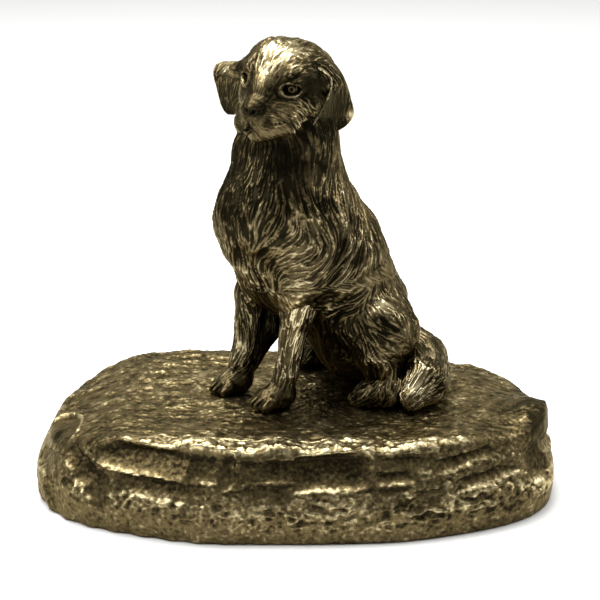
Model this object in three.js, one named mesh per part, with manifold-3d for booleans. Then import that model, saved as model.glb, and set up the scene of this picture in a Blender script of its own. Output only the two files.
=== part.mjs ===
// A seated retriever on an oval rock, as a foundry builds it: hollow body casting, separately cast
// head, ears, forelegs, hind paws and tail, pinned together, on a hollow rock base with a felt pad.
// Millimetres, +Z up. Origin: middle of the underside. +X along the base, -Y is the front.
import * as THREE from "three";
import { mergeVertices } from "three/addons/utils/BufferGeometryUtils.js";
import Module from "manifold-3d";

const wasm = await Module();
wasm.setup();

// ---------------------------------------------------------------- driving dimensions
const GAP = 0.3; // clearance between touching pieces
const FELT = { thickness: 1.5, inset: 2.5 };
const ROCK = {
  halfLength: 78.5,
  halfDepth: 48.5,
  roundness: 2.6, // exponent of the oval outline
  top: 27, // height of the seat the dog stands on
  wall: 5,
  bulge: 0.018,
  topInset: 0.075,
};
const BODY_PLACE = { x: 17.7, y: 10.4, heading: 205 };
const HEAD_PLACE = { x: -2.3, y: 1.5, z: 120.3, heading: 239, pitch: -6, roll: -8 };
const NECK_JOINT = { x: -0.4, y: 2.0, z: 106.5, slope: 0.25 }; // the joint dips towards the chin
const ELBOW_JOINT = 35; // height above the seat where the forelegs join the shoulders
const SEAT_STUD = { radius: 2, bottom: 12, top: 38 };
const SEAT_WASHER = { radius: 6, thickness: 1 };
const SEAT_NUT = { acrossFlats: 7, height: 3.2 };
const PAW_PIN = { radius: 1, reach: 7 };
const NECK_PIN = { radius: 1.5, reach: 9 };
const CORE = { radius: 7, bottom: 13, top: 56 }; // hollow left by the casting core

// ---------------------------------------------------------------- colours
const BRONZE = { color: 0x8c7443, roughness: 0.38, metalness: 1 };
const DARK_BRONZE = { color: 0x6f5b38, roughness: 0.5, metalness: 1 };
const STEEL = { color: 0xb4b6b8, roughness: 0.35, metalness: 1 };
const BAIZE = { color: 0x24352a, roughness: 0.95, metalness: 0 };

// ---------------------------------------------------------------- local frames
const degrees = THREE.MathUtils.degToRad;

function turnedFrame(origin, heading, pitch = 0, roll = 0) {
  const a = degrees(heading);
  const p = degrees(pitch);
  const r = degrees(roll);
  const forward = new THREE.Vector3(Math.cos(a) * Math.cos(p), Math.sin(a) * Math.cos(p), Math.sin(p));
  const level = new THREE.Vector3(-Math.sin(a), Math.cos(a), 0);
  const upright = new THREE.Vector3().crossVectors(forward, level);
  const left = level.clone().multiplyScalar(Math.cos(r)).addScaledVector(upright, Math.sin(r));
  const up = new THREE.Vector3().crossVectors(forward, left);
  return {
    toWorld: (f, l, u) =>
      origin.clone().addScaledVector(forward, f).addScaledVector(left, l).addScaledVector(up, u),
    toLocal: (p3) => {
      const d = p3.clone().sub(origin);
      return [d.dot(forward), d.dot(left), d.dot(up)];
    },
  };
}

const body = turnedFrame(new THREE.Vector3(BODY_PLACE.x, BODY_PLACE.y, ROCK.top), BODY_PLACE.heading);
const head = turnedFrame(
  new THREE.Vector3(HEAD_PLACE.x, HEAD_PLACE.y, HEAD_PLACE.z),
  HEAD_PLACE.heading,
  HEAD_PLACE.pitch,
  HEAD_PLACE.roll,
);

// ---------------------------------------------------------------- anatomy
// A mass is a tapered capsule: [from, to, radius at from, radius at to, blend, lateral scale].
// Points are (forward, left, up) in the body's frame, above the seat.
const TRUNK = [
  [[-2, 0, 9], [0.5, 0, 12], 9.3, 9, 4, 1.5], // seat, flat on the rock
  [[-1.5, 0, 17], [0.5, 0, 25], 13.3, 15, 5, 1.3], // pelvis
  [[0.5, 0, 25], [11.5, 0, 42], 15.6, 18.6, 6, 1.05], // loin
  [[11.5, 0, 42], [21, 0, 58], 18.6, 17.2, 6, 0.98], // ribs
  [[25, 0, 42], [29.5, 0, 56], 13.2, 14.4, 7, 0.95], // breast
  [[21.5, 0, 60], [20.5, 0, 78], 14.5, 11.6, 7, 1], // neck, lower
  [[20, 0, 78], [20, 0, 90], 11.4, 10.5, 5, 1], // neck, upper
  [[33, -5, 53], [33, -5, 48], 8.6, 7.4, 3, 1], // ruff, right lobe
  [[33, 4, 57], [29, 9, 50], 6.5, 6, 3, 1], // ruff, left lobe
  [[28.5, -7, 66], [28, -6.5, 77], 7.6, 6.8, 5, 1], // throat
  [[15.5, 0, 61], [18, 0, 73], 11.5, 9.6, 5, 1], // withers
];
const HAUNCH = [
  [[-3.2, 12.5, 20], [-0.5, 15, 22], 11.6, 10.2, 3, 1], // thigh
  [[0, 17.5, 24], [1, 19, 16], 7, 6.6, 3, 1], // knee
  [[1, 19, 16], [-1, 20, 7], 6.6, 5.4, 2.5, 1], // hock
];
const SHOULDER = [
  [[17.5, 9, 60], [22, 10.5, 42], 8.5, 7.8, 3.5, 1],
  [[22, 11, 50], [23.5, 11, 38], 7.2, 6.2, 2, 1],
];
const FORELEG_LEFT = [
  [[22, 10.5, 42], [23.5, 10.2, 29], 7.2, 5, 4, 1], // upper arm and elbow
  [[23.5, 10.2, 29], [27, 9.8, 11], 4.7, 3.2, 2.5, 1], // forearm
  [[27, 9.8, 11], [28.5, 9.8, 5], 3.3, 3.8, 2, 1], // wrist
  [[28.5, 9.8, 4.2], [33, 9.8, 3.4], 4.2, 3.7, 2, 1.1], // paw
];
const FORELEG_RIGHT = [
  [[24, -9.5, 44], [29.5, -8.2, 31], 7.2, 5.4, 4, 1],
  [[29.5, -8.2, 31], [33.5, -7.5, 10], 5, 3.5, 2.5, 1],
  [[25, -8.4, 38], [25, -8, 18], 5, 3.4, 2.5, 0.7], // feathering
  [[25, -8, 18], [30.5, -7.6, 8], 3.4, 2.2, 2.5, 0.7],
  [[33.5, -7.5, 10], [35, -7.3, 5], 3.5, 3.9, 2, 1],
  [[35, -7.3, 4.2], [39.2, -7, 3.4], 4.2, 3.7, 2, 1.1],
];
const HIND_PAW_LEFT = [
  [[-6, 22.5, 4.4], [0, 21.5, 5], 4.6, 5.2, 3, 1],
  [[0, 21.5, 4.6], [5.6, 19, 3.5], 5.1, 4.2, 2, 1.1],
];
const HIND_PAW_RIGHT = [
  [[-6, -21, 4.4], [0, -20, 5], 4.6, 5.2, 3, 1],
  [[0, -20, 4.6], [6.8, -19.6, 3.5], 5.1, 4.2, 2, 1.1],
];
const TAIL = [
  [[-12, 0, 12], [-17, 4, 9], 7, 7.2, 4, 1],
  [[-17, 4, 9], [-18, 11, 7.6], 7.2, 7.4, 4, 1],
  [[-18, 11, 7.6], [-14.5, 19, 7], 7.4, 7.2, 4, 1],
  [[-14.5, 19, 7], [-10.5, 25.5, 7], 7.2, 6.6, 4, 1],
  [[-10.5, 25.5, 7], [-4.5, 29.2, 4], 6.6, 3.6, 4, 1],
];
// Head masses, (forward, left, up) from the middle of the skull; the scale is per axis.
const SKULL = [
  [[-4.5, 0, 0.4], [2, 0, 1.4], 12, 11.3, 0, [1, 1.02, 1]], // braincase
  [[-3, -5, 3.4], [1.6, -4.2, 5.2], 9.6, 8.4, 4, [1, 1, 1]], // crown
  [[3, 0, 3], [6, 0, 0.5], 8.6, 8, 4, [1, 1.05, 0.95]], // brow
  [[7.6, 0, -0.4], [15.8, 0, -3], 6.2, 4.6, 3, [1, 1, 1]], // muzzle
  [[16.4, 0, -1], [17.3, 0, -1.4], 2.9, 2.7, 0.5, [1, 1.3, 1]], // nose
  [[2, 0, -8.6], [14.2, 0, -9.6], 5, 2.9, 1, [1, 1.2, 1]], // lower jaw
  [[-4, 0, -2], [-1.5, 1, -17], 11, 11, 5, [1, 1, 1]], // nape
  [[9, 4.2, -7.6], [15.4, 3.5, -6.8], 4.4, 3.7, 1.8, [1, 1, 1]], // left lip
  [[9, -4.2, -7.6], [15.4, -3.5, -6.8], 4.4, 3.7, 1.8, [1, 1, 1]], // right lip
  [[1.5, 5.4, -5.5], [6.5, 5.8, -7.2], 5.2, 4.2, 3, [1, 1, 1]], // left cheek
  [[1.5, -5.4, -5.5], [6.5, -5.8, -7.2], 5.2, 4.2, 3, [1, 1, 1]], // right cheek
];
const EAR_LEFT = [
  [[-4, 10.8, 8.6], [-3.5, 14, 1], 2.6, 4.6, 2, [1.2, 0.6, 1]],
  [[-3.5, 14, 1], [-7, 14.6, -7.4], 4.6, 4.2, 2, [1.2, 0.5, 1]],
  [[-3.5, 14, 1], [4, 13, -9], 4.6, 3.2, 2, [1.2, 0.5, 1]],
];
const EAR_RIGHT = [
  [[-3, -11, 6], [-1, -19, 3.4], 3.2, 3, 2, [1.2, 1, 0.8]],
  [[-1, -19.4, 3], [2, -18.4, -6.4], 3.8, 3.4, 2, [0.6, 1.25, 1]],
];

const mirrored = (masses) =>
  masses.map(([a, b, ...rest]) => [[a[0], -a[1], a[2]], [b[0], -b[1], b[2]], ...rest]);

// ---------------------------------------------------------------- the sculpting field
// Distance-like value: negative inside the flesh, positive outside.
const mix = THREE.MathUtils.lerp;
const clamp = THREE.MathUtils.clamp;

function smoothMin(a, b, blend) {
  if (blend <= 0) return Math.min(a, b);
  const h = clamp(0.5 + (0.5 * (b - a)) / blend, 0, 1);
  return mix(b, a, h) - blend * h * (1 - h);
}

function capsuleDistance([x, y, z], [a, b, radiusA, radiusB, , scale]) {
  const s = Array.isArray(scale) ? scale : [1, scale, 1];
  const p = new THREE.Vector3((x - a[0]) / s[0], (y - a[1]) / s[1], (z - a[2]) / s[2]);
  const axis = new THREE.Vector3((b[0] - a[0]) / s[0], (b[1] - a[1]) / s[1], (b[2] - a[2]) / s[2]);
  const t = clamp(p.dot(axis) / axis.lengthSq(), 0, 1);
  return p.addScaledVector(axis, -t).length() - mix(radiusA, radiusB, t);
}

function blended(masses) {
  return (local) =>
    masses.reduce((d, mass) => smoothMin(d, capsuleDistance(local, mass), mass[4]), 1e3);
}

const aboveRock = (p) => ROCK.top + GAP - p.z;
const belowElbow = (p) => p.z - ROCK.top - ELBOW_JOINT;
const neckPlane = (p) => {
  const facing = degrees(HEAD_PLACE.heading);
  const ahead = (p.x - NECK_JOINT.x) * Math.cos(facing) + (p.y - NECK_JOINT.y) * Math.sin(facing);
  return p.z - (NECK_JOINT.z - NECK_JOINT.slope * ahead);
};

function fleshField(frame, masses, clips) {
  const flesh = blended(masses);
  return (p) => Math.max(flesh(frame.toLocal(p)), ...clips.map((clip) => clip(p)));
}

// ---------------------------------------------------------------- meshes
function gridGeometry(rings, startPole, endPole) {
  const sides = rings[0].length;
  const points = [startPole, ...rings.flat(), endPole];
  const index = [];
  const at = (ring, side) => 1 + ring * sides + (side % sides);
  for (let side = 0; side < sides; side += 1) {
    index.push(0, at(0, side + 1), at(0, side));
    for (let ring = 0; ring + 1 < rings.length; ring += 1) {
      index.push(at(ring, side), at(ring, side + 1), at(ring + 1, side));
      index.push(at(ring, side + 1), at(ring + 1, side + 1), at(ring + 1, side));
    }
    index.push(at(rings.length - 1, side), at(rings.length - 1, side + 1), points.length - 1);
  }
  const geometry = new THREE.BufferGeometry().setFromPoints(points);
  geometry.setIndex(index);
  return geometry;
}

function signedVolume(positions, index) {
  const corner = (i) => new THREE.Vector3().fromArray(positions, 3 * index[i]);
  let sum = 0;
  for (let i = 0; i < index.length; i += 3) {
    sum += corner(i).dot(corner(i + 1).cross(corner(i + 2)));
  }
  return sum / 6;
}

function toSolid(geometry) {
  const bare = geometry.clone();
  bare.deleteAttribute("normal");
  bare.deleteAttribute("uv");
  const merged = mergeVertices(bare, 1e-4);
  const vertProperties = Float32Array.from(merged.getAttribute("position").array);
  const triVerts = Uint32Array.from(merged.getIndex().array);
  if (signedVolume(vertProperties, triVerts) < 0) {
    for (let i = 0; i < triVerts.length; i += 3) {
      [triVerts[i], triVerts[i + 1]] = [triVerts[i + 1], triVerts[i]];
    }
  }
  return new wasm.Manifold(new wasm.Mesh({ numProp: 3, vertProperties, triVerts }));
}

function toGeometry(solid) {
  const mesh = solid.getMesh();
  const geometry = new THREE.BufferGeometry();
  geometry.setAttribute("position", new THREE.BufferAttribute(Float32Array.from(mesh.vertProperties), 3));
  geometry.setIndex(new THREE.BufferAttribute(Uint32Array.from(mesh.triVerts), 1));
  geometry.computeVertexNormals();
  return geometry;
}

// Walks out along a ray from inside the flesh to where the field first reaches the level.
function surfaceOnRay(field, from, direction, level) {
  const stride = 0.6;
  const reach = 60;
  let near = 0;
  let far = stride;
  const value = (t) => field(from.clone().addScaledVector(direction, t)) - level;
  while (value(far) < 0 && far < reach) {
    near = far;
    far += stride;
  }
  for (let i = 0; i < 22; i += 1) {
    const middle = (near + far) / 2;
    if (value(middle) < 0) near = middle;
    else far = middle;
  }
  return from.clone().addScaledVector(direction, near);
}

// Wraps a skin round a spine: a fan of rays over each end, and square rays along the middle.
function wrapSpine(field, spine, { sides, along, cap, reference, level = 0 }) {
  const curve = new THREE.CatmullRomCurve3(spine);
  const rings = [];
  const stations = [];
  for (let i = 0; i < cap; i += 1) stations.push([0, ((i + 1) / (cap + 1)) * 90]);
  for (let i = 0; i <= along; i += 1) stations.push([i / along, 90]);
  for (let i = 0; i < cap; i += 1) stations.push([1, 90 + ((i + 1) / (cap + 1)) * 90]);
  for (const [t, lean] of stations) {
    const origin = curve.getPointAt(t);
    const tangent = curve.getTangentAt(t);
    const across = new THREE.Vector3().crossVectors(tangent, reference).normalize();
    const over = new THREE.Vector3().crossVectors(across, tangent);
    const ring = [];
    for (let side = 0; side < sides; side += 1) {
      const turn = (2 * Math.PI * side) / sides;
      const outward = across.clone().multiplyScalar(Math.cos(turn)).addScaledVector(over, Math.sin(turn));
      const direction = outward
        .multiplyScalar(Math.sin(degrees(lean)))
        .addScaledVector(tangent, -Math.cos(degrees(lean)));
      ring.push(surfaceOnRay(field, origin, direction, level));
    }
    rings.push(ring);
  }
  const first = surfaceOnRay(field, curve.getPointAt(0), curve.getTangentAt(0).negate(), level);
  const last = surfaceOnRay(field, curve.getPointAt(1), curve.getTangentAt(1), level);
  return toSolid(gridGeometry(rings, first, last));
}

// An upright round bar between two heights, or a hexagonal one with six sides.
function bar(x, y, bottom, top, radius, sides = 20) {
  const geometry = new THREE.CylinderGeometry(radius, radius, top - bottom, sides);
  geometry.rotateX(Math.PI / 2);
  geometry.translate(x, y, (bottom + top) / 2);
  return toSolid(geometry);
}

// ---------------------------------------------------------------- rock base
const ovalRadius = (turn) => {
  const n = ROCK.roundness;
  const x = Math.abs(Math.cos(turn)) / ROCK.halfLength;
  const y = Math.abs(Math.sin(turn)) / ROCK.halfDepth;
  return (x ** n + y ** n) ** (-1 / n);
};
// Slow swells round the rim: a boulder at the right end, a scooped facet at the left.
// They fade out at the four extremes, so that the outline's box stays centred.
const rimSwell = (turn) =>
  Math.sin(2 * turn) ** 2 *
  (0.018 * Math.cos(2 * turn + 0.4) + 0.02 * Math.cos(3 * turn - 0.6) + 0.014 * Math.cos(7 * turn + 1.1));
const smoothStep = THREE.MathUtils.smoothstep;
const rockTop = (x, y) => {
  const leftFall = 9 * smoothStep(-x, 44, 76);
  const rightFall = 5 * smoothStep(x, 54, 77);
  const backFall = 3 * smoothStep(y, 36, 47);
  return ROCK.top - leftFall - rightFall - backFall;
};

function rockOuter() {
  const sides = 52;
  const floor = FELT.thickness + GAP;
  const wallLevels = [0, 0.18, 0.42, 0.66, 0.86];
  const topShares = [0.985, 0.95, 0.88, 0.72, 0.5, 0.26];
  const rings = [];
  const ringAt = (place) => Array.from({ length: sides }, (_, i) => place((2 * Math.PI * i) / sides));
  for (const level of wallLevels) {
    rings.push(
      ringAt((turn) => {
        const lean = 1 - ROCK.topInset * level ** 3 + ROCK.bulge * Math.sin(Math.PI * level);
        const r = ovalRadius(turn) * (0.985 + rimSwell(turn)) * lean;
        const x = r * Math.cos(turn);
        const y = r * Math.sin(turn);
        return new THREE.Vector3(x, y, mix(floor, rockTop(x, y), level));
      }),
    );
  }
  for (const share of topShares) {
    rings.push(
      ringAt((turn) => {
        const r = ovalRadius(turn) * (0.985 + rimSwell(turn)) * (1 - ROCK.topInset) * share;
        const x = r * Math.cos(turn);
        const y = r * Math.sin(turn);
        return new THREE.Vector3(x, y, rockTop(x, y));
      }),
    );
  }
  const bottom = new THREE.Vector3(0, 0, floor);
  const top = new THREE.Vector3(0, 0, ROCK.top);
  return toSolid(gridGeometry(rings, bottom, top));
}

function rockPocket() {
  const sides = 32;
  const rings = [
    [-5, 1],
    [6, 1],
    [11, 0.97],
    [14, 0.9],
  ].map(([z, share]) =>
    Array.from({ length: sides }, (_, i) => {
      const turn = (2 * Math.PI * i) / sides;
      const r = (ovalRadius(turn) * 0.9 - ROCK.wall) * share;
      return new THREE.Vector3(r * Math.cos(turn), r * Math.sin(turn), z);
    }),
  );
  const floor = new THREE.Vector3(0, 0, -5);
  const ceiling = new THREE.Vector3(0, 0, 14);
  return toSolid(gridGeometry(rings, floor, ceiling));
}

function feltPad() {
  const outline = new THREE.Shape(
    Array.from({ length: 48 }, (_, i) => {
      const turn = (2 * Math.PI * i) / 48;
      const r = ovalRadius(turn) * 0.965 - FELT.inset;
      return new THREE.Vector2(r * Math.cos(turn), r * Math.sin(turn));
    }),
  );
  return new THREE.ExtrudeGeometry(outline, { depth: FELT.thickness, bevelEnabled: false });
}

// ---------------------------------------------------------------- cast pieces
const UP = new THREE.Vector3(0, 0, 1);
const bodyPoints = (points) => points.map(([f, l, u]) => body.toWorld(f, l, u));
const headPoints = (points) => points.map(([f, l, u]) => head.toWorld(f, l, u));
const bodyAcross = body.toWorld(0, 1, 0).sub(body.toWorld(0, 0, 0));
const headAcross = head.toWorld(0, 1, 0).sub(head.toWorld(0, 0, 0));

function castPiece(field, spine, options) {
  return {
    solid: wrapSpine(field, spine, options),
    cutter: wrapSpine(field, spine, { ...options, level: GAP }),
  };
}

const bodyClips = [aboveRock];
const legClips = [aboveRock, belowElbow];
const torsoField = fleshField(
  body,
  [
    ...TRUNK,
    ...HAUNCH,
    ...mirrored(HAUNCH),
    ...SHOULDER,
    ...mirrored(SHOULDER),
    FORELEG_LEFT[0],
    FORELEG_RIGHT[0],
  ],
  [aboveRock, (p) => neckPlane(p) + GAP / 2],
);
const torso = castPiece(
  torsoField,
  bodyPoints([[-1, 0, 13], [2, 0, 26], [11, 0, 42], [19.5, 0, 60], [20.2, 0, 70]]),
  { sides: 30, along: 21, cap: 6, reference: bodyAcross },
);
const skull = castPiece(
  fleshField(head, SKULL, [(p) => GAP / 2 - neckPlane(p)]),
  headPoints([[-4, 0, 1], [2, 0, 0], [8, 0, -4.5], [14.5, 0, -7]]),
  { sides: 24, along: 11, cap: 6, reference: headAcross },
);
const earLeft = castPiece(
  fleshField(head, EAR_LEFT, []),
  headPoints([[-4, 11.2, 7.5], [-3.6, 13.6, 1], [-2, 13.9, -7]]),
  { sides: 18, along: 8, cap: 4, reference: headAcross },
);
const earRight = castPiece(
  fleshField(head, EAR_RIGHT, []),
  headPoints([[-2.6, -12.5, 5.6], [-1, -18.8, 3.6], [0.2, -19.1, 0], [1.6, -18.5, -5]]),
  { sides: 16, along: 10, cap: 4, reference: head.toWorld(1, 0, 0).sub(head.toWorld(0, 0, 0)) },
);
const legOptions = { sides: 14, along: 12, cap: 3, reference: bodyAcross };
const forelegLeft = castPiece(
  fleshField(body, FORELEG_LEFT, legClips),
  bodyPoints([[23.2, 10.3, 32], [23.5, 10.2, 29], [27, 9.8, 11], [28.6, 9.8, 5.4], [32.5, 9.8, 3.7]]),
  legOptions,
);
const forelegRight = castPiece(
  fleshField(body, FORELEG_RIGHT, legClips),
  bodyPoints([[28.9, -8.4, 33], [29.5, -8.2, 31], [33.5, -7.5, 10], [35.2, -7.3, 5.4], [38.6, -7, 3.8]]),
  legOptions,
);
const pawOptions = { sides: 12, along: 7, cap: 3, reference: UP };
const hindPawLeft = castPiece(
  fleshField(body, HIND_PAW_LEFT, bodyClips),
  bodyPoints([[-5, 22.2, 4.4], [0, 21.4, 4.5], [4.8, 19.4, 3.7]]),
  pawOptions,
);
const hindPawRight = castPiece(
  fleshField(body, HIND_PAW_RIGHT, bodyClips),
  bodyPoints([[-5, -20.8, 4.4], [0, -20, 4.5], [6, -19.7, 3.7]]),
  pawOptions,
);
const tail = castPiece(
  fleshField(body, TAIL, bodyClips),
  bodyPoints([[-13, 0.8, 10.5], [-17, 5, 8.4], [-17.8, 11, 7.3], [-14.5, 19, 6.8], [-10.5, 25.5, 6.4], [-5.2, 28.8, 4.4]]),
  { sides: 14, along: 14, cap: 3, reference: UP },
);

// ---------------------------------------------------------------- pins, stud, holes
const seat = body.toWorld(0, 0, 0);
const leftPaw = body.toWorld(28.8, 9.8, 0);
const rightPaw = body.toWorld(35.4, -7.3, 0);
const pocketCeiling = 14;
const stud = bar(seat.x, seat.y, SEAT_STUD.bottom - 6, SEAT_STUD.top, SEAT_STUD.radius);
const studHole = bar(seat.x, seat.y, 0, SEAT_STUD.top + 2, SEAT_STUD.radius + GAP);
const washerTop = pocketCeiling - GAP;
const washerBottom = washerTop - SEAT_WASHER.thickness;
const nutTop = washerBottom - GAP;
const washer = bar(seat.x, seat.y, washerBottom, washerTop, SEAT_WASHER.radius, 28).subtract(studHole);
const nutCorner = SEAT_NUT.acrossFlats / Math.sqrt(3);
const nut = bar(seat.x, seat.y, nutTop - SEAT_NUT.height, nutTop, nutCorner, 6).subtract(studHole);

const pawPin = (paw) => bar(paw.x, paw.y, ROCK.top - PAW_PIN.reach, ROCK.top + PAW_PIN.reach, PAW_PIN.radius, 16);
const pawHole = (paw) => {
  const reach = PAW_PIN.reach + GAP;
  return bar(paw.x, paw.y, ROCK.top - reach, ROCK.top + reach, PAW_PIN.radius + GAP, 16);
};
const neckBar = (extra) =>
  bar(
    NECK_JOINT.x,
    NECK_JOINT.y,
    NECK_JOINT.z - NECK_PIN.reach - extra,
    NECK_JOINT.z + NECK_PIN.reach + extra,
    NECK_PIN.radius + extra,
    16,
  );
const core = wrapSpine(
  fleshField(body, [[[2, 0, CORE.bottom + 6], [18, 0, CORE.top - 6], CORE.radius, CORE.radius, 0, 1]], []),
  bodyPoints([[2, 0, CORE.bottom + 6], [18, 0, CORE.top - 6]]),
  { sides: 16, along: 3, cap: 3, reference: bodyAcross },
);

const solids = {
  felt_pad: [toSolid(feltPad()), BAIZE],
  rock_base: [
    rockOuter().subtract(rockPocket()).subtract(studHole).subtract(pawHole(leftPaw)).subtract(pawHole(rightPaw)),
    DARK_BRONZE,
  ],
  dog_torso: [
    torso.solid
      .subtract(forelegLeft.cutter)
      .subtract(forelegRight.cutter)
      .subtract(core)
      .subtract(studHole)
      .subtract(neckBar(GAP)),
    BRONZE,
  ],
  dog_head: [skull.solid.subtract(neckBar(GAP)), BRONZE],
  ear_left: [earLeft.solid.subtract(skull.cutter).subtract(torso.cutter), BRONZE],
  ear_right: [earRight.solid.subtract(skull.cutter).subtract(torso.cutter), BRONZE],
  foreleg_left: [forelegLeft.solid.subtract(pawHole(leftPaw)), BRONZE],
  foreleg_right: [forelegRight.solid.subtract(pawHole(rightPaw)), BRONZE],
  hind_paw_left: [hindPawLeft.solid.subtract(torso.cutter).subtract(tail.cutter), BRONZE],
  hind_paw_right: [hindPawRight.solid.subtract(torso.cutter).subtract(tail.cutter), BRONZE],
  tail: [tail.solid.subtract(torso.cutter), BRONZE],
  seat_stud: [stud, STEEL],
  seat_washer: [washer, STEEL],
  seat_nut: [nut, STEEL],
  forepaw_pin_left: [pawPin(leftPaw), STEEL],
  forepaw_pin_right: [pawPin(rightPaw), STEEL],
  neck_pin: [neckBar(0), STEEL],
};

const figurine = new THREE.Group();
figurine.name = "seated_retriever";
for (const [name, [solid, finish]] of Object.entries(solids)) {
  const parts = solid.decompose().sort((a, b) => b.volume() - a.volume());
  const mesh = new THREE.Mesh(toGeometry(parts[0]), new THREE.MeshStandardMaterial(finish));
  mesh.name = name;
  figurine.add(mesh);
}

export default figurine;
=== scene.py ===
"""A seated retriever cast in patinated bronze on an oval rock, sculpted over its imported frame.

Every surface is a grid of two parameters wrapped round a spine: the flesh is a smooth union of
tapered capsules, and the fur is combed onto it by smearing solid noise along a direction field.
Inside the sculpting code lengths are millimetres; meshes are written in metres.
"""

import logging
import math
from dataclasses import dataclass, replace
from enum import Enum
from itertools import product
from typing import Callable, Sequence

import bpy
import numpy as np
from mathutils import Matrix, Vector


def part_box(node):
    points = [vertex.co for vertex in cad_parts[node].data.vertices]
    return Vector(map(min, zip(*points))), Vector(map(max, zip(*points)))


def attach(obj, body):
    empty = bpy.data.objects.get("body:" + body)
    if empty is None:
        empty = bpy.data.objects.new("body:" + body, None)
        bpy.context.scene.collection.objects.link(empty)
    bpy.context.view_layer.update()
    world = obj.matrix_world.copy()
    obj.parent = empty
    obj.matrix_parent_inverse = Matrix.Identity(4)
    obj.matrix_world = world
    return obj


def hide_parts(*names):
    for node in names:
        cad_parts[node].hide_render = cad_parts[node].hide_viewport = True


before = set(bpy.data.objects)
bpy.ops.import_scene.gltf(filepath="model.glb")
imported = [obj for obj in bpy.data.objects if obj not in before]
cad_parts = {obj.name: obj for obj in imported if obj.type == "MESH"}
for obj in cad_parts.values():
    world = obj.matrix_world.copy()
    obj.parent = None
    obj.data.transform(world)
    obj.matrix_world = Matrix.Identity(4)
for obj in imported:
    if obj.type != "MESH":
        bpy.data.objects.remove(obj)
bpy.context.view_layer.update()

LOG = logging.getLogger("retriever")
MM = 0.001
ROOT = "root"
Array = np.ndarray
Point = tuple[float, float, float]


class Side(Enum):
    """The dog's own left and right, as the sign of its leftward axis."""

    LEFT = 1
    RIGHT = -1


# ------------------------------------------------------------------------------ places
def box_mm(node: str) -> tuple[Array, Array]:
    """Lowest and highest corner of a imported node.

    Args:
        node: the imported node's name.

    Returns:
        Two corners in millimetres.
    """
    low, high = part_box(node)
    return np.array(low) / MM, np.array(high) / MM


def middle_mm(node: str) -> Array:
    """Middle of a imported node's box, in millimetres."""
    low, high = box_mm(node)
    return (low + high) / 2


def flipped(point: Point) -> Point:
    """A local point or direction moved to the dog's other side."""
    return (point[0], -point[1], point[2])


def grid_steps(count: int) -> int:
    """How many steps a grid takes: the count."""
    return int(count * (1.0))


@dataclass(frozen=True)
class Axes:
    """A local frame: its origin, and its forward, left and up directions as rows."""

    origin: Array
    rows: Array

    @classmethod
    def turned(cls, origin: Array, heading: float, pitch: float = 0.0, roll: float = 0.0) -> "Axes":
        """Builds a frame from compass angles.

        Args:
            origin: the frame's origin.
            heading: angle of forward from +X, in degrees.
            pitch: how far forward points above level, in degrees.
            roll: how far the left side is raised, in degrees.

        Returns:
            The turned frame.
        """
        a, p, r = np.radians([heading, pitch, roll])
        forward = np.array([np.cos(a) * np.cos(p), np.sin(a) * np.cos(p), np.sin(p)])
        level = np.array([-np.sin(a), np.cos(a), 0.0])
        upright = np.cross(forward, level)
        left = level * np.cos(r) + upright * np.sin(r)
        return cls(np.asarray(origin, float), np.array([forward, left, np.cross(forward, left)]))

    def local(self, points: Array) -> Array:
        """World points seen in this frame."""
        return (points - self.origin) @ self.rows.T

    def world(self, points: Sequence) -> Array:
        """Local points put into the world."""
        return np.asarray(points, float) @ self.rows + self.origin

    def direction(self, vector: Sequence) -> Array:
        """A local direction turned into the world."""
        return np.asarray(vector, float) @ self.rows


SEAT_HEIGHT = float(box_mm("rock_base")[1][2])
SEAT = middle_mm("seat_washer")
PAW_LEFT = middle_mm("forepaw_pin_left")
PAW_RIGHT = middle_mm("forepaw_pin_right")
NECK = middle_mm("neck_pin")
PAWS_OFF_AXIS = 2.23  # degrees from the dog's own heading to the middle of its forepaws
_to_paws = (PAW_LEFT + PAW_RIGHT) / 2 - SEAT
BODY_HEADING = math.degrees(math.atan2(_to_paws[1], _to_paws[0])) - PAWS_OFF_AXIS
BODY = Axes.turned(np.array([SEAT[0], SEAT[1], SEAT_HEIGHT]), BODY_HEADING)
HEAD_TURN = 34.0  # degrees the head is turned to the dog's left of its body
HEAD = Axes.turned(NECK + np.array([-1.9, -0.5, 13.8]), BODY_HEADING + HEAD_TURN, -6.0, -8.0)


# ------------------------------------------------------------------------------ noise
class Grain:
    """Smooth solid noise: random values at lattice corners, blended by the ease 3t2 - 2t3."""

    SIZE = 48

    def __init__(self, seed: int) -> None:
        """Draws the lattice values.

        Args:
            seed: start of the random draws.
        """
        self.table = np.random.default_rng(seed).uniform(-1, 1, (self.SIZE,) * 3).astype(np.float32)

    def __call__(self, points: Array, cell: float) -> Array:
        """Noise between -1 and 1.

        Args:
            points: places, in millimetres.
            cell: the lattice spacing.

        Returns:
            One value for each point.
        """
        q = (points / cell).astype(np.float32)
        base = np.floor(q)
        t = q - base
        t = t * t * (3 - 2 * t)
        i = base.astype(np.int32) % self.SIZE
        j = (i + 1) % self.SIZE
        total = 0.0
        for corner in product((0, 1), repeat=3):
            pick = [(j if bit else i)[..., axis] for axis, bit in enumerate(corner)]
            weight = 1.0
            for axis, bit in enumerate(corner):
                weight = weight * (t[..., axis] if bit else 1 - t[..., axis])
            total = total + weight * self.table[pick[0], pick[1], pick[2]]
        return total

    def layered(self, points: Array, cell: float, layers: int = 3) -> Array:
        """Sum of ever finer and weaker noise.

        Args:
            points: places, in millimetres.
            cell: the coarsest spacing.
            layers: how many times the spacing is halved.

        Returns:
            One value for each point.
        """
        return sum(self(points + 17.3 * n, cell / 2**n) / 2**n for n in range(layers))


GRAIN = Grain(7)
STRAND_GRAIN = Grain(23)
LOCK_GRAIN = Grain(41)


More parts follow.
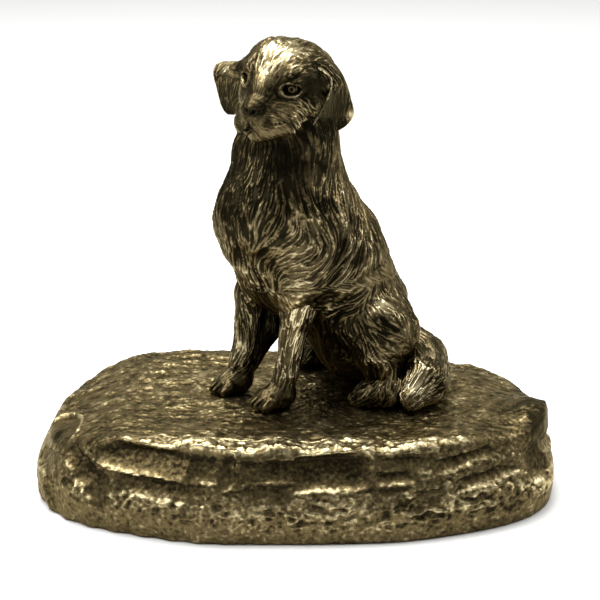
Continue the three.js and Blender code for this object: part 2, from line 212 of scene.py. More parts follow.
def ease(low: float, high: float, value: Array) -> Array:
    """Smooth step from 0 at low to 1 at high."""
    t = np.clip((value - low) / (high - low), 0, 1)
    return t * t * (3 - 2 * t)


def bell(distance: Array, width: float) -> Array:
    """A bump of height 1 that falls off as a Gaussian of the given width."""
    return np.exp(-((distance / width) ** 2))


# ------------------------------------------------------------------------------ flesh
@dataclass(frozen=True)
class Mass:
    """A tapered capsule of flesh, stretched along its frame's axes."""

    start: Point
    end: Point
    radius_start: float
    radius_end: float
    blend: float = 3.0
    stretch: Point = (1.0, 1.0, 1.0)

    def distance(self, p: Array) -> Array:
        """Distance-like value, negative inside: length to the axis less the tapered radius."""
        s = np.array(self.stretch)
        start = np.array(self.start)
        axis = (np.array(self.end) - start) / s
        q = (p - start) / s
        t = np.clip(q @ axis / max(float(axis @ axis), 1e-9), 0, 1)
        q = q - t[..., None] * axis
        reach = np.sqrt(np.einsum("...i,...i->...", q, q))
        return reach - (self.radius_start + (self.radius_end - self.radius_start) * t)

    def mirrored(self) -> "Mass":
        """The same mass on the dog's other side."""
        return replace(self, start=flipped(self.start), end=flipped(self.end))


def both_sides(masses: Sequence[Mass]) -> list[Mass]:
    """The masses and their mirror images."""
    return [*masses, *(m.mirrored() for m in masses)]


def smooth_min(a: Array, b: Array, blend: float) -> Array:
    """Lower of two values, rounded off over the blend distance."""
    h = np.clip(0.5 + 0.5 * (b - a) / max(blend, 1e-6), 0, 1)
    return b + (a - b) * h - blend * h * (1 - h)


@dataclass
class Flesh:
    """A smooth union of masses in one frame, cut off by optional world half-spaces."""

    axes: Axes
    masses: Sequence[Mass]
    cuts: Sequence[Callable[[Array], Array]] = ()

    def distance(self, points: Array) -> Array:
        """Distance-like value at world points."""
        local = self.axes.local(points)
        total = None
        for mass in self.masses:
            d = mass.distance(local)
            total = d if total is None else smooth_min(total, d, mass.blend)
        for cut in self.cuts:
            total = np.maximum(total, cut(points))
        return total


def above_seat(points: Array) -> Array:
    """Half-space over the rock's top, sunk a hair into it."""
    return SEAT_HEIGHT - 0.15 - points[..., 2]


# ------------------------------------------------------------------------------ skins
@dataclass
class Skin:
    """A closed grid of points: rings of equal length between two poles."""

    points: Array
    start: Array
    end: Array

    def normals(self) -> Array:
        """Unit normals of the grid, pointing out: cross product of the two grid directions."""
        padded = np.concatenate([self.points[:, -1:], self.points, self.points[:, :1]], 1)
        around = (padded[:, 2:] - padded[:, :-2]) / 2
        first, last = (np.broadcast_to(pole, self.points[:1].shape) for pole in (self.start, self.end))
        stacked = np.concatenate([first, self.points, last], 0)
        along = (stacked[2:] - stacked[:-2]) / 2
        n = np.cross(around, along)
        n /= np.linalg.norm(n, axis=-1, keepdims=True) + 1e-9
        outward = self.points - self.points.mean((0, 1))
        return n if np.sum(n * outward) > 0 else -n

    def pushed(self, heights: Array) -> "Skin":
        """The skin raised along its normals by a height at each point."""
        return Skin(self.points + self.normals() * heights[..., None], self.start, self.end)


@dataclass(frozen=True)
class Wrap:
    """How a skin is wound round a spine: points on the spine and the size of the grid."""

    spine: Sequence[Point]
    sides: int
    along: int
    cap: int
    reference: Point = (0.0, 1.0, 0.0)
    reach: float = 45.0


def spine_samples(control: Array, shares: Array) -> tuple[Array, Array]:
    """Points and unit tangents at shares of a smooth curve through the control points.

    The curve is a Catmull-Rom spline, which runs through each point in the direction from the
    one before it to the one after it, walked at even speed.

    Args:
        control: the points that the spine runs through.
        shares: shares of its length, from 0 to 1.

    Returns:
        Points and tangents.
    """
    ends = np.vstack([2 * control[0] - control[1], control, 2 * control[-1] - control[-2]])
    fine = []
    for i in range(len(control) - 1):
        a, b, c, d = ends[i : i + 4]
        t = np.linspace(0, 1, 24, endpoint=i == len(control) - 2)[:, None]
        fine.append(
            0.5 * (2 * b + (c - a) * t + (2 * a - 5 * b + 4 * c - d) * t**2 + (3 * b - a - 3 * c + d) * t**3)
        )
    fine = np.vstack(fine)
    length = np.concatenate([[0], np.cumsum(np.linalg.norm(np.diff(fine, axis=0), axis=1))])
    at = shares * length[-1]
    points = np.stack([np.interp(at, length, fine[:, k]) for k in range(3)], -1)
    slope = np.gradient(fine, length, axis=0)
    tangents = np.stack([np.interp(at, length, slope[:, k]) for k in range(3)], -1)
    return points, tangents / np.linalg.norm(tangents, axis=1, keepdims=True)


def march(flesh: Flesh, origins: Array, directions: Array, reach: float) -> Array:
    """Distance along each ray from inside the flesh to its first surface.

    Each ray steps on by a share of the flesh's own distance value until that is nearly zero.

    Args:
        flesh: what is wrapped.
        origins: starts of the rays, inside.
        directions: unit directions.
        reach: the furthest a ray may go.

    Returns:
        One distance for each ray.
    """
    t = np.zeros(directions.shape[:-1])
    for _ in range(34):
        d = flesh.distance(origins + directions * t[..., None])
        t = np.clip(t + np.where(d < 0, np.minimum(-d * 0.6, 1.5), -np.minimum(d, 0.6) * 0.6), 0, reach)
    return t


def wrap(flesh: Flesh, plan: Wrap) -> Skin:
    """Winds a closed skin round a spine.

    Rings along the spine are square to it, and rings over each end fan out like a globe's
    parallels. Rays leave the spine, and each ring's rays are respaced for even steps round it.

    Args:
        flesh: what is wrapped.
        plan: the spine and the grid.

    Returns:
        The skin.
    """
    sides, along, cap = (max(6, grid_steps(n)) for n in (plan.sides, plan.along, plan.cap))
    opening = np.linspace(0, 90, cap + 1, endpoint=False)[1:]
    lean = np.concatenate([opening, np.full(along, 90.0), np.linspace(90, 180, cap + 2)[1:-1]])
    share = np.concatenate([np.zeros(cap), np.linspace(0, 1, along), np.ones(cap)])
    control = flesh.axes.world(plan.spine)
    centre, tangent = spine_samples(control, share)
    reference = flesh.axes.direction(plan.reference)
    across = np.cross(tangent, reference)
    across /= np.linalg.norm(across, axis=1, keepdims=True)
    over = np.cross(across, tangent)
    sine, cosine = np.sin(np.radians(lean)), np.cos(np.radians(lean))

    def rays(turn: Array, rows: slice = slice(None)) -> Array:
        """Unit directions for turn angles, one row of angles for each ring."""
        level = across[rows, None] * np.cos(turn)[..., None] + over[rows, None] * np.sin(turn)[..., None]
        return level * sine[rows, None, None] - tangent[rows, None] * cosine[rows, None, None]

    coarse_sides = max(48, sides // 4)
    even = np.linspace(0, 2 * np.pi, coarse_sides, endpoint=False)
    picks = np.unique(np.round(np.linspace(0, len(share) - 1, max(12, len(share) // 3))).astype(int))
    turn = np.tile(even, (len(picks), 1))
    t = march(flesh, centre[picks, None], rays(turn, picks), plan.reach)
    ring = centre[picks, None] + rays(turn, picks) * t[..., None]
    step = np.linalg.norm(np.roll(ring, -1, 1) - ring, axis=-1)
    smooth = (step + np.roll(step, 1, 1) + np.roll(step, -1, 1)) / 3 + 0.25 * step.mean(1, keepdims=True)
    length = np.concatenate([np.zeros((len(picks), 1)), np.cumsum(smooth, 1)], 1)
    length /= length[:, -1:]
    knots = np.append(even, 2 * np.pi)
    wanted = np.linspace(0, 1, sides, endpoint=False)
    turn_rows = np.stack([np.interp(wanted, length[i], knots) for i in range(len(picks))])
    closed_t = np.concatenate([t, t[:, :1]], 1)
    t_rows = np.stack([np.interp(turn_rows[i], knots, closed_t[i]) for i in range(len(picks))])
    rows = np.arange(len(share))
    turn = np.stack([np.interp(rows, picks, turn_rows[:, k]) for k in range(sides)], -1)
    t = np.stack([np.interp(rows, picks, t_rows[:, k]) for k in range(sides)], -1)
    direction = rays(turn)
    for _ in range(5):
        d = flesh.distance(centre[:, None] + direction * t[..., None])
        t = np.clip(t - np.clip(d, -1.2, 1.2) * 0.8, 0.02, plan.reach)
    points = centre[:, None] + direction * t[..., None]
    poles = []
    for end, sign in ((0, -1.0), (-1, 1.0)):
        ray = (sign * tangent[end])[None]
        poles.append(centre[end] + ray[0] * march(flesh, centre[end][None], ray, plan.reach)[0])
    return Skin(points, poles[0], poles[1])


# ------------------------------------------------------------------------------ fur
@dataclass(frozen=True)
class Stroke:
    """One comb stroke: where it is, which way the hair lies and how far it reaches."""

    at: Point
    lie: Point
    reach: float = 9.0


class Coat:
    """The lie of the hair everywhere: strokes blended by distance, with a wave added."""

    STEP = 2.5

    def __init__(self, strokes: Sequence[tuple[Axes, Stroke]], low: Array, high: Array) -> None:
        """Blends the strokes onto a coarse lattice.

        Each lattice point takes the strokes' directions weighted by exp(-(distance/reach)^2).

        Args:
            strokes: the frame and stroke pairs.
            low: lowest corner of the coat's box.
            high: highest corner.
        """
        self.low = low
        axes = [np.arange(a, b + self.STEP, self.STEP) for a, b in zip(low, high)]
        lattice = np.stack(np.meshgrid(*axes, indexing="ij"), -1)
        total = np.zeros_like(lattice)
        for frame_axes, stroke in strokes:
            away = np.linalg.norm(lattice - frame_axes.world(stroke.at), axis=-1)
            lie = frame_axes.direction(stroke.lie)
            total += (bell(away, stroke.reach) + 1e-5 / (1 + away**2))[..., None] * lie / np.linalg.norm(lie)
        total /= np.linalg.norm(total, axis=-1, keepdims=True) + 1e-12
        wave = np.stack([GRAIN(lattice + shift, 6.0) for shift in (3.0, 31.0, 57.0)], -1)
        self.lie = (total + 0.3 * wave).astype(np.float32)
        self.shape = np.array(lattice.shape[:3])

    def __call__(self, points: Array) -> Array:
        """Direction of the hair at world points, by blending the eight nearest lattice points."""
        q = (points - self.low) / self.STEP
        base = np.clip(np.floor(q).astype(int), 0, self.shape - 2)
        t = np.clip(q - base, 0, 1).astype(np.float32)
        total = 0.0
        for corner in product((0, 1), repeat=3):
            index = base + np.array(corner)
            weight = 1.0
            for axis, bit in enumerate(corner):
                weight = weight * (t[..., axis] if bit else 1 - t[..., axis])
            total = total + weight[..., None] * self.lie[index[..., 0], index[..., 1], index[..., 2]]
        return total


@dataclass(frozen=True)
class Strands:
    """Size of one layer of carved hair."""

    pitch: float
    length: float
    depth: float


def combed(points: Array, normals: Array, coat: Coat, strands: Strands, grain: Grain) -> Array:
    """Noise smeared along the hair's lie, evened to a spread of one.

    From each point the lie is followed both ways for half a strand's length, and the solid
    noise met on the way is averaged, so it varies quickly across the hair and slowly along it.

    Args:
        points: places on the skin.
        normals: the skin's normals there.
        coat: the lie of the hair.
        strands: pitch and length of the hair.
        grain: the noise to smear.

    Returns:
        One value for each point, about 0 on average.
    """
    steps = 8
    stride = strands.length / 2 / steps
    total = grain(points, strands.pitch)
    for sign in (-1.0, 1.0):
        p = points.copy()
        for k in range(steps):
            lie = coat(p)
            lie = lie - normals * np.sum(lie * normals, -1, keepdims=True)
            lie /= np.linalg.norm(lie, axis=-1, keepdims=True) + 1e-6
            p = p + lie * (sign * stride)
            total = total + grain(p, strands.pitch) * (1 - 0.6 * (k + 1) / steps)
    return (total - total.mean()) / (total.std() + 1e-9)


@dataclass(frozen=True)
class WearAndPaintedLight:
    """A blob of tone: patina worn bright by handling, together with painted shade and painted highlights set
    where the light falls dark and bright.
    """

    axes: Axes
    at: Point
    reach: Point
    shift: float

    def amount(self, points: Array) -> Array:
        """Change of tone at world points: shift times exp(-(distance/reach)^2)."""
        away = (self.axes.local(points) - np.array(self.at)) / np.array(self.reach)
        return self.shift * np.exp(-np.einsum("...i,...i->...", away, away))


# Worn patina mixed with painted light: the dark blobs are painted shade under the chest, neck and belly,
# between the legs, on the temples and on the faces of the ears; the bright blobs are painted highlights on a
# patch of the neck, the shoulder, knee, tail, forehead, muzzle, lower lid and ear tips, where the patina is
# also worn.
WEAR_AND_PAINTED_LIGHT = (
    WearAndPaintedLight(BODY, (35, 0, 64), (12, 16, 16), -0.34),
    WearAndPaintedLight(BODY, (24, 0, 82), (14, 15, 8), -0.12),
    WearAndPaintedLight(BODY, (22, 10, 71.4), (1.7, 3, 1.1), 0.9),
    WearAndPaintedLight(BODY, (17, 2, 20), (10, 9, 15), -0.55),
    WearAndPaintedLight(BODY, (13.5, 13, 26), (5, 9, 7), -0.35),
    WearAndPaintedLight(BODY, (7, -18, 6), (9, 8, 9), -0.35),
    WearAndPaintedLight(BODY, (25, -8, 20), (4, 6, 12), -0.25),
    WearAndPaintedLight(BODY, (26, 16, 45), (3.6, 5, 9), 0.26),
    WearAndPaintedLight(BODY, (27, 15, 28), (3.6, 5, 14), 0.24),
    WearAndPaintedLight(BODY, (1.5, 22, 31.5), (3.5, 5, 2.2), 0.45),
    WearAndPaintedLight(BODY, (-5, 32, 9), (3.6, 4.5, 5.5), 0.6),
    WearAndPaintedLight(BODY, (4, 21, 5), (8, 7, 5), -0.05),
    WearAndPaintedLight(HEAD, (4.5, 1, 12), (7, 8, 5), 0.42),
    WearAndPaintedLight(HEAD, (11, 0, 7), (4, 2.6, 3.5), 0.5),
    WearAndPaintedLight(HEAD, (4.5, 11, 5.5), (5.0, 5, 6), -0.5),
    WearAndPaintedLight(HEAD, (6, -10, 6), (4, 4, 5), -0.3),
    WearAndPaintedLight(HEAD, (0, 14, -6), (7, 5, 8), -0.3),
    WearAndPaintedLight(HEAD, (1, -20, -6), (6, 5, 7), -0.25),
    WearAndPaintedLight(HEAD, (3, -21, 1.5), (5, 5, 2.5), 0.5),
    WearAndPaintedLight(HEAD, (15, 5, -8), (5, 3.5, 3), 0.35),
    WearAndPaintedLight(HEAD, (15.5, 0, -11), (3, 5, 2), 0.3),
    WearAndPaintedLight(HEAD, (8.5, 9, -4), (5, 4, 5), 0.22),
    WearAndPaintedLight(HEAD, (9.8, 6.5, 1.4), (2.5, 2.5, 0.9), 0.4),
    WearAndPaintedLight(HEAD, (-10.5, 16, -7.5), (2.5, 4, 2.2), 0.7),
    WearAndPaintedLight(HEAD, (-3, 16, -3), (6, 3.5, 7), -0.3),
)


def wear_and_painted_light(points: Array) -> Array:
    """Total change of tone from worn patina, painted shade and painted highlights at world points."""
    return sum(spot.amount(points) for spot in WEAR_AND_PAINTED_LIGHT)


@dataclass
class Relief:
    """Heights over a skin and how proud or sunk each point looks, from 0 to 1."""

    height: Array
    tone: Array


def fur(skin: Skin, coat: Coat, layers: Sequence[Strands], amount: Array | float = 1.0) -> Relief:
    """Carved hair: crested strands riding on rounded locks.

    A strand's crest is where its smeared noise crosses zero; a lock is the smooth noise itself.

    Args:
        skin: the bare skin.
        coat: the lie of the hair.
        layers: locks first, then strands.
        amount: share of the full depth, for each point or all.

    Returns:
        The heights and tones.
    """
    normals = skin.normals()
    lock_size, strand_size = layers
    lock = np.tanh(combed(skin.points, normals, coat, lock_size, LOCK_GRAIN))
    strand = combed(skin.points, normals, coat, strand_size, STRAND_GRAIN)
    crest = bell(strand + 0.3 * lock, 0.5)
    height = (lock * lock_size.depth + (2 * crest - 0.9) * strand_size.depth) * amount
    tone = 0.25 + (0.12 * lock + 0.6 * crest - 0.08) * np.clip(amount, 0.2, 1.1)
    # The tone takes in the worn patina, painted shade and painted highlights of the blob table.
    return Relief(height, tone + wear_and_painted_light(skin.points))


# ------------------------------------------------------------------------------ meshes
def mesh_from_skin(name: str, skin: Skin, tone: Array, polish: Array | float = 0.0) -> bpy.types.Object:
    """Writes a skin as a mesh object with its tone and polish attributes.

    Args:
        name: the piece's name.
        skin: the closed grid, in millimetres.
        tone: 0 in recesses to 1 on crests, with painted shade and painted highlights added, for each grid
            point.
        polish: extra rubbing, for each grid point or all.

    Returns:
        The new object.
    """
    rings, sides = skin.points.shape[:2]
    points = np.vstack([skin.start[None], skin.points.reshape(-1, 3), skin.end[None]]) * MM
    grid = 1 + np.arange(rings * sides).reshape(rings, sides)
    nxt = np.roll(grid, -1, 1)
    quads = np.stack([grid[:-1], nxt[:-1], nxt[1:], grid[1:]], -1).reshape(-1, 4)
    last = len(points) - 1
    first_fan = np.stack([np.zeros(sides, int), nxt[0], grid[0]], -1)
    last_fan = np.stack([grid[-1], nxt[-1], np.full(sides, last)], -1)
    a, b, c = (points[quads[:, k]] for k in (0, 1, 2))
    centre = points.mean(0)
    if np.sum(np.cross(b - a, c - a) * (a - centre)) < 0:
        quads, first_fan, last_fan = quads[:, ::-1], first_fan[:, ::-1], last_fan[:, ::-1]
    corners = np.concatenate([quads.ravel(), first_fan.ravel(), last_fan.ravel()])
    sizes = np.concatenate([np.full(len(quads), 4), np.full(2 * sides, 3)])
    starts = np.concatenate([[0], np.cumsum(sizes)[:-1]])
    mesh = bpy.data.meshes.new(name)
    mesh.vertices.add(len(points))
    mesh.vertices.foreach_set("co", points.astype(np.float32).ravel())
    mesh.loops.add(len(corners))
    mesh.loops.foreach_set("vertex_index", corners.astype(np.int32))
    mesh.polygons.add(len(sizes))
    mesh.polygons.foreach_set("loop_start", starts.astype(np.int32))
    mesh.polygons.foreach_set("use_smooth", np.ones(len(sizes), bool))
    mesh.update(calc_edges=True)
    for label, values in (("tone", tone), ("polish", polish)):
        full = np.broadcast_to(values, (rings, sides))
        whole = np.concatenate([[full[0].mean()], full.ravel(), [full[-1].mean()]])
        layer = mesh.attributes.new(label, "FLOAT", "POINT")
        layer.data.foreach_set("value", whole.astype(np.float32))
    piece = bpy.data.objects.new(name, mesh)
    bpy.context.scene.collection.objects.link(piece)
    LOG.info("%s: %d points, %d faces", name, len(points), len(sizes))
    return piece


def place(piece: bpy.types.Object, slot: str, material: bpy.types.Material, *nodes: str) -> None:
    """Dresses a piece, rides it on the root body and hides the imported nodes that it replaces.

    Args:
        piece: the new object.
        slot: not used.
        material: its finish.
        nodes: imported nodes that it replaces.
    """
    piece.data.materials.clear()
    piece.data.materials.append(material)
    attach(piece, ROOT)
    if nodes:
        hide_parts(*nodes)


# ------------------------------------------------------------------------------ finishes
Colour = tuple[float, float, float]
Stops = Sequence[tuple[float, Colour]]
Socket = bpy.types.NodeSocket


class NodeMaker:
    """Adds shader nodes to a tree and links them, so that a finish reads as one recipe."""

    def __init__(self, tree: bpy.types.NodeTree) -> None:
        """Keeps the tree to build in."""
        self.tree = tree

    def add(self, kind: str, inputs: dict | None = None, **settings: object) -> bpy.types.Node:
        """A node with its settings, and with values or links for its inputs.

        Args:
            kind: the node type.
            inputs: values or output sockets by input name or index.
            settings: the node's own properties.

        Returns:
            The node.
        """
        node = self.tree.nodes.new(kind)
        for key, value in settings.items():
            setattr(node, key, value)
        self.feed(node, inputs or {})
        return node

    def feed(self, node: bpy.types.Node, inputs: dict) -> None:
        """Gives a node's inputs their values or links.

        Args:
            node: the node.
            inputs: values or output sockets by input name or index.
        """
        for key, value in inputs.items():
            if isinstance(value, Socket):
                self.tree.links.new(value, node.inputs[key])
            else:
                node.inputs[key].default_value = value

    def noise(self, at: Socket, scale: object, detail: float, twist: float = 0.0) -> Socket:
        """Solid noise at a position.

        Args:
            at: the position.
            scale: how fine it is, as a number or socket.
            detail: how many finer layers it has.
            twist: how far it is distorted.

        Returns:
            The noise, about 0.5 on average.
        """
        inputs = {"Vector": at, "Scale": scale, "Detail": detail, "Distortion": twist}
        return self.add("ShaderNodeTexNoise", inputs).outputs["Fac"]

    def step(self, value: Socket, low: float, high: float) -> Socket:
        """A smooth step from 0 at low to 1 at high."""
        inputs = {"Value": value, "From Min": low, "From Max": high}
        return self.add("ShaderNodeMapRange", inputs, interpolation_type="SMOOTHSTEP").outputs[0]

    def bump(self, height: Socket, strength: float, distance: float) -> Socket:
        """The normal of a surface roughened by a height."""
        inputs = {"Height": height, "Strength": strength, "Distance": distance}
        return self.add("ShaderNodeBump", inputs).outputs["Normal"]

    def ramp(self, factor: Socket, stops: Stops) -> Socket:
        """A colour ramp through the stops.

        Args:
            factor: where on the ramp.
            stops: positions and colours.

        Returns:
            The ramp's colour.
        """
        node = self.add("ShaderNodeValToRGB", {"Fac": factor})
        points = node.color_ramp.elements
        while len(points) < len(stops):
            points.new(0.5)
        for point, (position, colour) in zip(points, stops):
            point.position = position
            point.color = (*colour, 1.0)
        return node.outputs["Color"]

    def mix(self, factor: object, a: object, b: object, mode: str = "MIX") -> Socket:
        """Two colours mixed by a factor.

        Args:
            factor: share of the second.
            a: the first colour or socket.
            b: the second.
            mode: how they mix.

        Returns:
            The mixed colour.
        """
        node = self.add("ShaderNodeMix", data_type="RGBA", blend_type=mode)
        self.feed(node, {0: factor, 6: a, 7: b})
        return node.outputs[2]

    def math(self, how: str, a: object, b: object = 0.0, clamp: bool = False) -> Socket:
        """One arithmetic step.

        Args:
            how: the operation.
            a: first number or socket.
            b: second.
            clamp: whether the result is kept between 0 and 1.

        Returns:
            The result.
        """
        node = self.add("ShaderNodeMath", {0: a, 1: b}, operation=how, use_clamp=clamp)
        return node.outputs[0]


def new_group(name: str, inputs: dict[str, tuple[str, object]], outputs: dict[str, str]) -> tuple:
    """An empty shader node group with its sockets.

    Args:
        name: the group's name.
        inputs: socket type and default by name.
        outputs: socket type by name.

    Returns:
        The group, a maker for it, its input node and its output node.
    """
    group = bpy.data.node_groups.new(name, "ShaderNodeTree")
    for label, (kind, default) in inputs.items():
        socket = group.interface.new_socket(label, in_out="INPUT", socket_type=kind)
        socket.default_value = default
    for label, kind in outputs.items():
        group.interface.new_socket(label, in_out="OUTPUT", socket_type=kind)
    make = NodeMaker(group)
    return group, make, make.add("NodeGroupInput"), make.add("NodeGroupOutput")


FLOAT = "NodeSocketFloat"
COLOUR = "NodeSocketColor"
VECTOR = "NodeSocketVector"


def patina_group() -> bpy.types.NodeTree:
    """Patina: dark and rough in the recesses, worn bright on the crests, mottled throughout; the tone it is
    given also holds painted shade and painted highlights.

    Returns:
        A group from position, tone, polish and three colours to colour and roughness.
    """
    group, make, given, result = new_group(
        "patina",
        {
            "Vector": (VECTOR, (0, 0, 0)),
            "Tone": (FLOAT, 0.5),
            "Polish": (FLOAT, 0.0),
            "Recess": (COLOUR, (0.03, 0.025, 0.01, 1)),
            "Body": (COLOUR, (0.3, 0.23, 0.12, 1)),
            "Crest": (COLOUR, (0.7, 0.6, 0.38, 1)),
            "Rough recess": (FLOAT, 0.6),
            "Rough crest": (FLOAT, 0.3),
            "Speck": (FLOAT, 0.25),
        },
        {"Color": COLOUR, "Roughness": FLOAT},
    )
    g = given.outputs
    mottle = make.noise(g["Vector"], 120.0, 4.0)
    speck = make.noise(g["Vector"], 900.0, 2.0)
    tone = g["Tone"]
    for noise, strength in ((mottle, 0.35), (speck, g["Speck"])):
        tone = make.math("ADD", tone, make.math("MULTIPLY", make.math("SUBTRACT", noise, 0.5), strength))
    tone = make.math("ADD", tone, make.math("MULTIPLY", g["Polish"], 0.5))
    low, high = make.step(tone, 0.12, 0.55), make.step(tone, 0.5, 0.95)
    colour = make.mix(high, make.mix(low, g["Recess"], g["Body"]), g["Crest"])
    spread = make.math("SUBTRACT", g["Rough crest"], g["Rough recess"])
    share = make.math("MULTIPLY", make.math("ADD", low, high), 0.5)
    rough = make.math("ADD", g["Rough recess"], make.math("MULTIPLY", spread, share), clamp=True)
    make.feed(result, {"Color": colour, "Roughness": rough})
    return group


def casting_group() -> bpy.types.NodeTree:
    """Casting skin: fine sand pitting over a slow ripple, as a height.

    Returns:
        A group from position and strength to height.
    """
    group, make, given, result = new_group(
        "casting_skin",
        {"Vector": (VECTOR, (0, 0, 0)), "Scale": (FLOAT, 1500.0), "Ripple": (FLOAT, 350.0)},
        {"Height": FLOAT},
    )
    g = given.outputs
    sand = make.noise(g["Vector"], g["Scale"], 3.0)
    ripple = make.noise(g["Vector"], g["Ripple"], 2.0)
    make.feed(result, {"Height": make.math("ADD", make.math("MULTIPLY", sand, 0.45), ripple)})
    return group


def blank_material(name: str) -> tuple[bpy.types.Material, NodeMaker, bpy.types.Node, Socket]:
    """A new material, its node maker, its shader and the object's own position.

    Args:
        name: the finish's name.

    Returns:
        The material, the maker, the shader node and the position socket.
    """
    material = bpy.data.materials.new(name)
    material.use_nodes = True
    make = NodeMaker(material.node_tree)
    shader = material.node_tree.nodes["Principled BSDF"]
    return material, make, shader, make.add("ShaderNodeTexCoord").outputs["Object"]


class Effects:
    """The node groups that the bronze finishes share, each built once."""

    def __init__(self) -> None:
        """Builds the groups."""
        self.patina = patina_group()
        self.casting = casting_group()


@dataclass(frozen=True)
class BronzeFinish:
    """Patinated bronze: three colours, two roughnesses and the casting skin's strength."""

    name: str
    recess: Colour
    body: Colour
    crest: Colour
    rough_recess: float
    rough_crest: float
    bump: float
    sand: float = 1500.0
    ripple: float = 350.0
    speck: float = 0.25

    def material(self, effects: Effects) -> bpy.types.Material:
        """The finish as a Blender material.

        Args:
            effects: the shared groups.

        Returns:
            The material.
        """
        material, make, shader, at = blank_material(self.name)
        marks = [make.add("ShaderNodeAttribute", attribute_name=n).outputs["Fac"] for n in ("tone", "polish")]
        patina = make.add("ShaderNodeGroup", node_tree=effects.patina)
        make.feed(patina, {"Vector": at, "Tone": marks[0], "Polish": marks[1], "Speck": self.speck})
        for label, colour in (("Recess", self.recess), ("Body", self.body), ("Crest", self.crest)):
            patina.inputs[label].default_value = (*colour, 1)
        make.feed(patina, {"Rough recess": self.rough_recess, "Rough crest": self.rough_crest})
        casting = make.add("ShaderNodeGroup", node_tree=effects.casting)
        make.feed(casting, {"Vector": at, "Scale": self.sand, "Ripple": self.ripple})
        normal = make.bump(casting.outputs["Height"], self.bump, 0.0004)
        make.feed(shader, {"Base Color": patina.outputs["Color"], "Roughness": patina.outputs["Roughness"]})
        make.feed(shader, {"Normal": normal, "Metallic": 1.0, "Specular Tint": (0.92, 0.84, 0.66, 1.0)})
        return material


@dataclass(frozen=True)
class SteelFinish:
    """Bright turned steel for the hidden fixings."""

    name: str = "bright_steel"
    colour: Colour = (0.6, 0.6, 0.61)

    def material(self) -> bpy.types.Material:
        """The finish, with fine turning rings round the upright axis."""
        material, make, shader, at = blank_material(self.name)
        inputs = {"Vector": at, "Scale": 900.0, "Distortion": 1.0}
        rings = make.add("ShaderNodeTexWave", inputs, bands_direction="Z").outputs["Fac"]
        tint = make.mix(rings, (*self.colour, 1), (*(0.85 * c for c in self.colour), 1))
        make.feed(shader, {"Base Color": tint, "Normal": make.bump(rings, 0.15, 0.0001)})
        make.feed(shader, {"Metallic": 1.0, "Roughness": 0.32})
        return material


@dataclass(frozen=True)
class FeltFinish:
    """Dense green baize."""

    name: str = "green_baize"
    dark: Colour = (0.012, 0.03, 0.018)
    light: Colour = (0.035, 0.07, 0.045)

    def material(self) -> bpy.types.Material:
        """The finish: matted fibres in two greens."""
        material, make, shader, at = blank_material(self.name)
        fibres = make.noise(at, 1800.0, 5.0, 1.5)
        colour = make.ramp(fibres, [(0.35, self.dark), (0.7, self.light)])
        make.feed(shader, {"Base Color": colour, "Normal": make.bump(fibres, 0.6, 0.0003)})
        make.feed(shader, {"Roughness": 0.95, "Sheen Weight": 0.4})
        return material


# ------------------------------------------------------------------------------ the coat's lie
BODY_STROKES = (
    Stroke((20, 0, 84), (0.6, 0.0, -1.0), 7),
    Stroke((8, 0, 76), (-0.1, 0.0, -1.0), 8),
    Stroke((1, 0, 55), (-0.15, 0.0, -1.0), 9),
    Stroke((-12, 0, 36), (-0.35, 0.0, -1.0), 9),
    Stroke((-18, 0, 20), (-0.1, 0.0, -1.0), 9),
    Stroke((33, 0, 70), (0.3, 0.25, -1.0), 8),
    Stroke((40, 0, 58), (0.0, 0.2, -1.0), 8),
    Stroke((40, 0, 46), (-0.3, 0.0, -1.0), 7),
    Stroke((33, 0, 36), (-0.4, 0.0, -1.0), 8),
)
FLANK_STROKES = (
    Stroke((22, 10, 80), (0.1, 0.2, -1.0), 7),
    Stroke((14.6, 11, 69), (0.3, 0.1, -1.0), 6),
    Stroke((7, 10, 66), (0.4, 0.1, -1.0), 6),
    Stroke((3, 13, 56), (0.3, 0.0, -1.0), 6),
    Stroke((16.6, 16, 58), (-0.5, 0.1, -1.0), 5),
    Stroke((19.3, 17, 53), (-0.4, 0.0, -1.0), 4),
    Stroke((12, 18, 50), (0.55, 0.0, -1.0), 5),
    Stroke((9, 18.5, 44), (0.65, 0.0, -1.0), 5),
    Stroke((10, 18.5, 37), (1.1, 0.0, -0.7), 5),
    Stroke((16.6, 18, 43), (0.9, 0.0, -0.8), 4.5),
    Stroke((-3.5, 15, 42), (0.1, 0.0, -1.0), 6),
    Stroke((-6.6, 17, 31), (-0.1, 0.0, -1.0), 6),
    Stroke((-14, 8, 34), (-0.1, 0.0, -1.0), 7),
    Stroke((2, 21, 30), (-0.4, 0.0, -1.0), 3.5),
    Stroke((3, 24, 24), (-1.0, 0.0, -0.55), 4),
    Stroke((6, 21, 18), (-0.55, 0.0, -1.0), 4),
    Stroke((-4, 25, 17), (-1.0, 0.0, -0.35), 4.5),
    Stroke((-10, 22, 20), (-0.3, 0.0, -1.0), 4),
    Stroke((2, 24, 8), (-0.1, 0.0, -1.0), 5),
    Stroke((24.8, 16, 47), (1.0, 0.0, -0.1), 3.6),
    Stroke((26, 15, 41), (1.0, -0.3, -0.2), 3.6),
    Stroke((24.5, 12, 32), (0.75, 0.0, -0.7), 4),
    Stroke((30, 12, 50), (0.8, -0.6, -0.8), 5),
    Stroke((31, 8, 60), (0.4, -0.3, -1.0), 5),
    Stroke((24, 14, 62), (-0.2, 0.1, -1.0), 4),
    Stroke((25, 13, 24), (0.1, 0.0, -1.0), 6),
    Stroke((29, 12, 10), (0.1, 0.0, -1.0), 6),
    Stroke((33, 10, 4), (1.0, 0.0, -0.3), 5),
    Stroke((6, 20, 4), (1.0, -0.3, -0.2), 5),
)
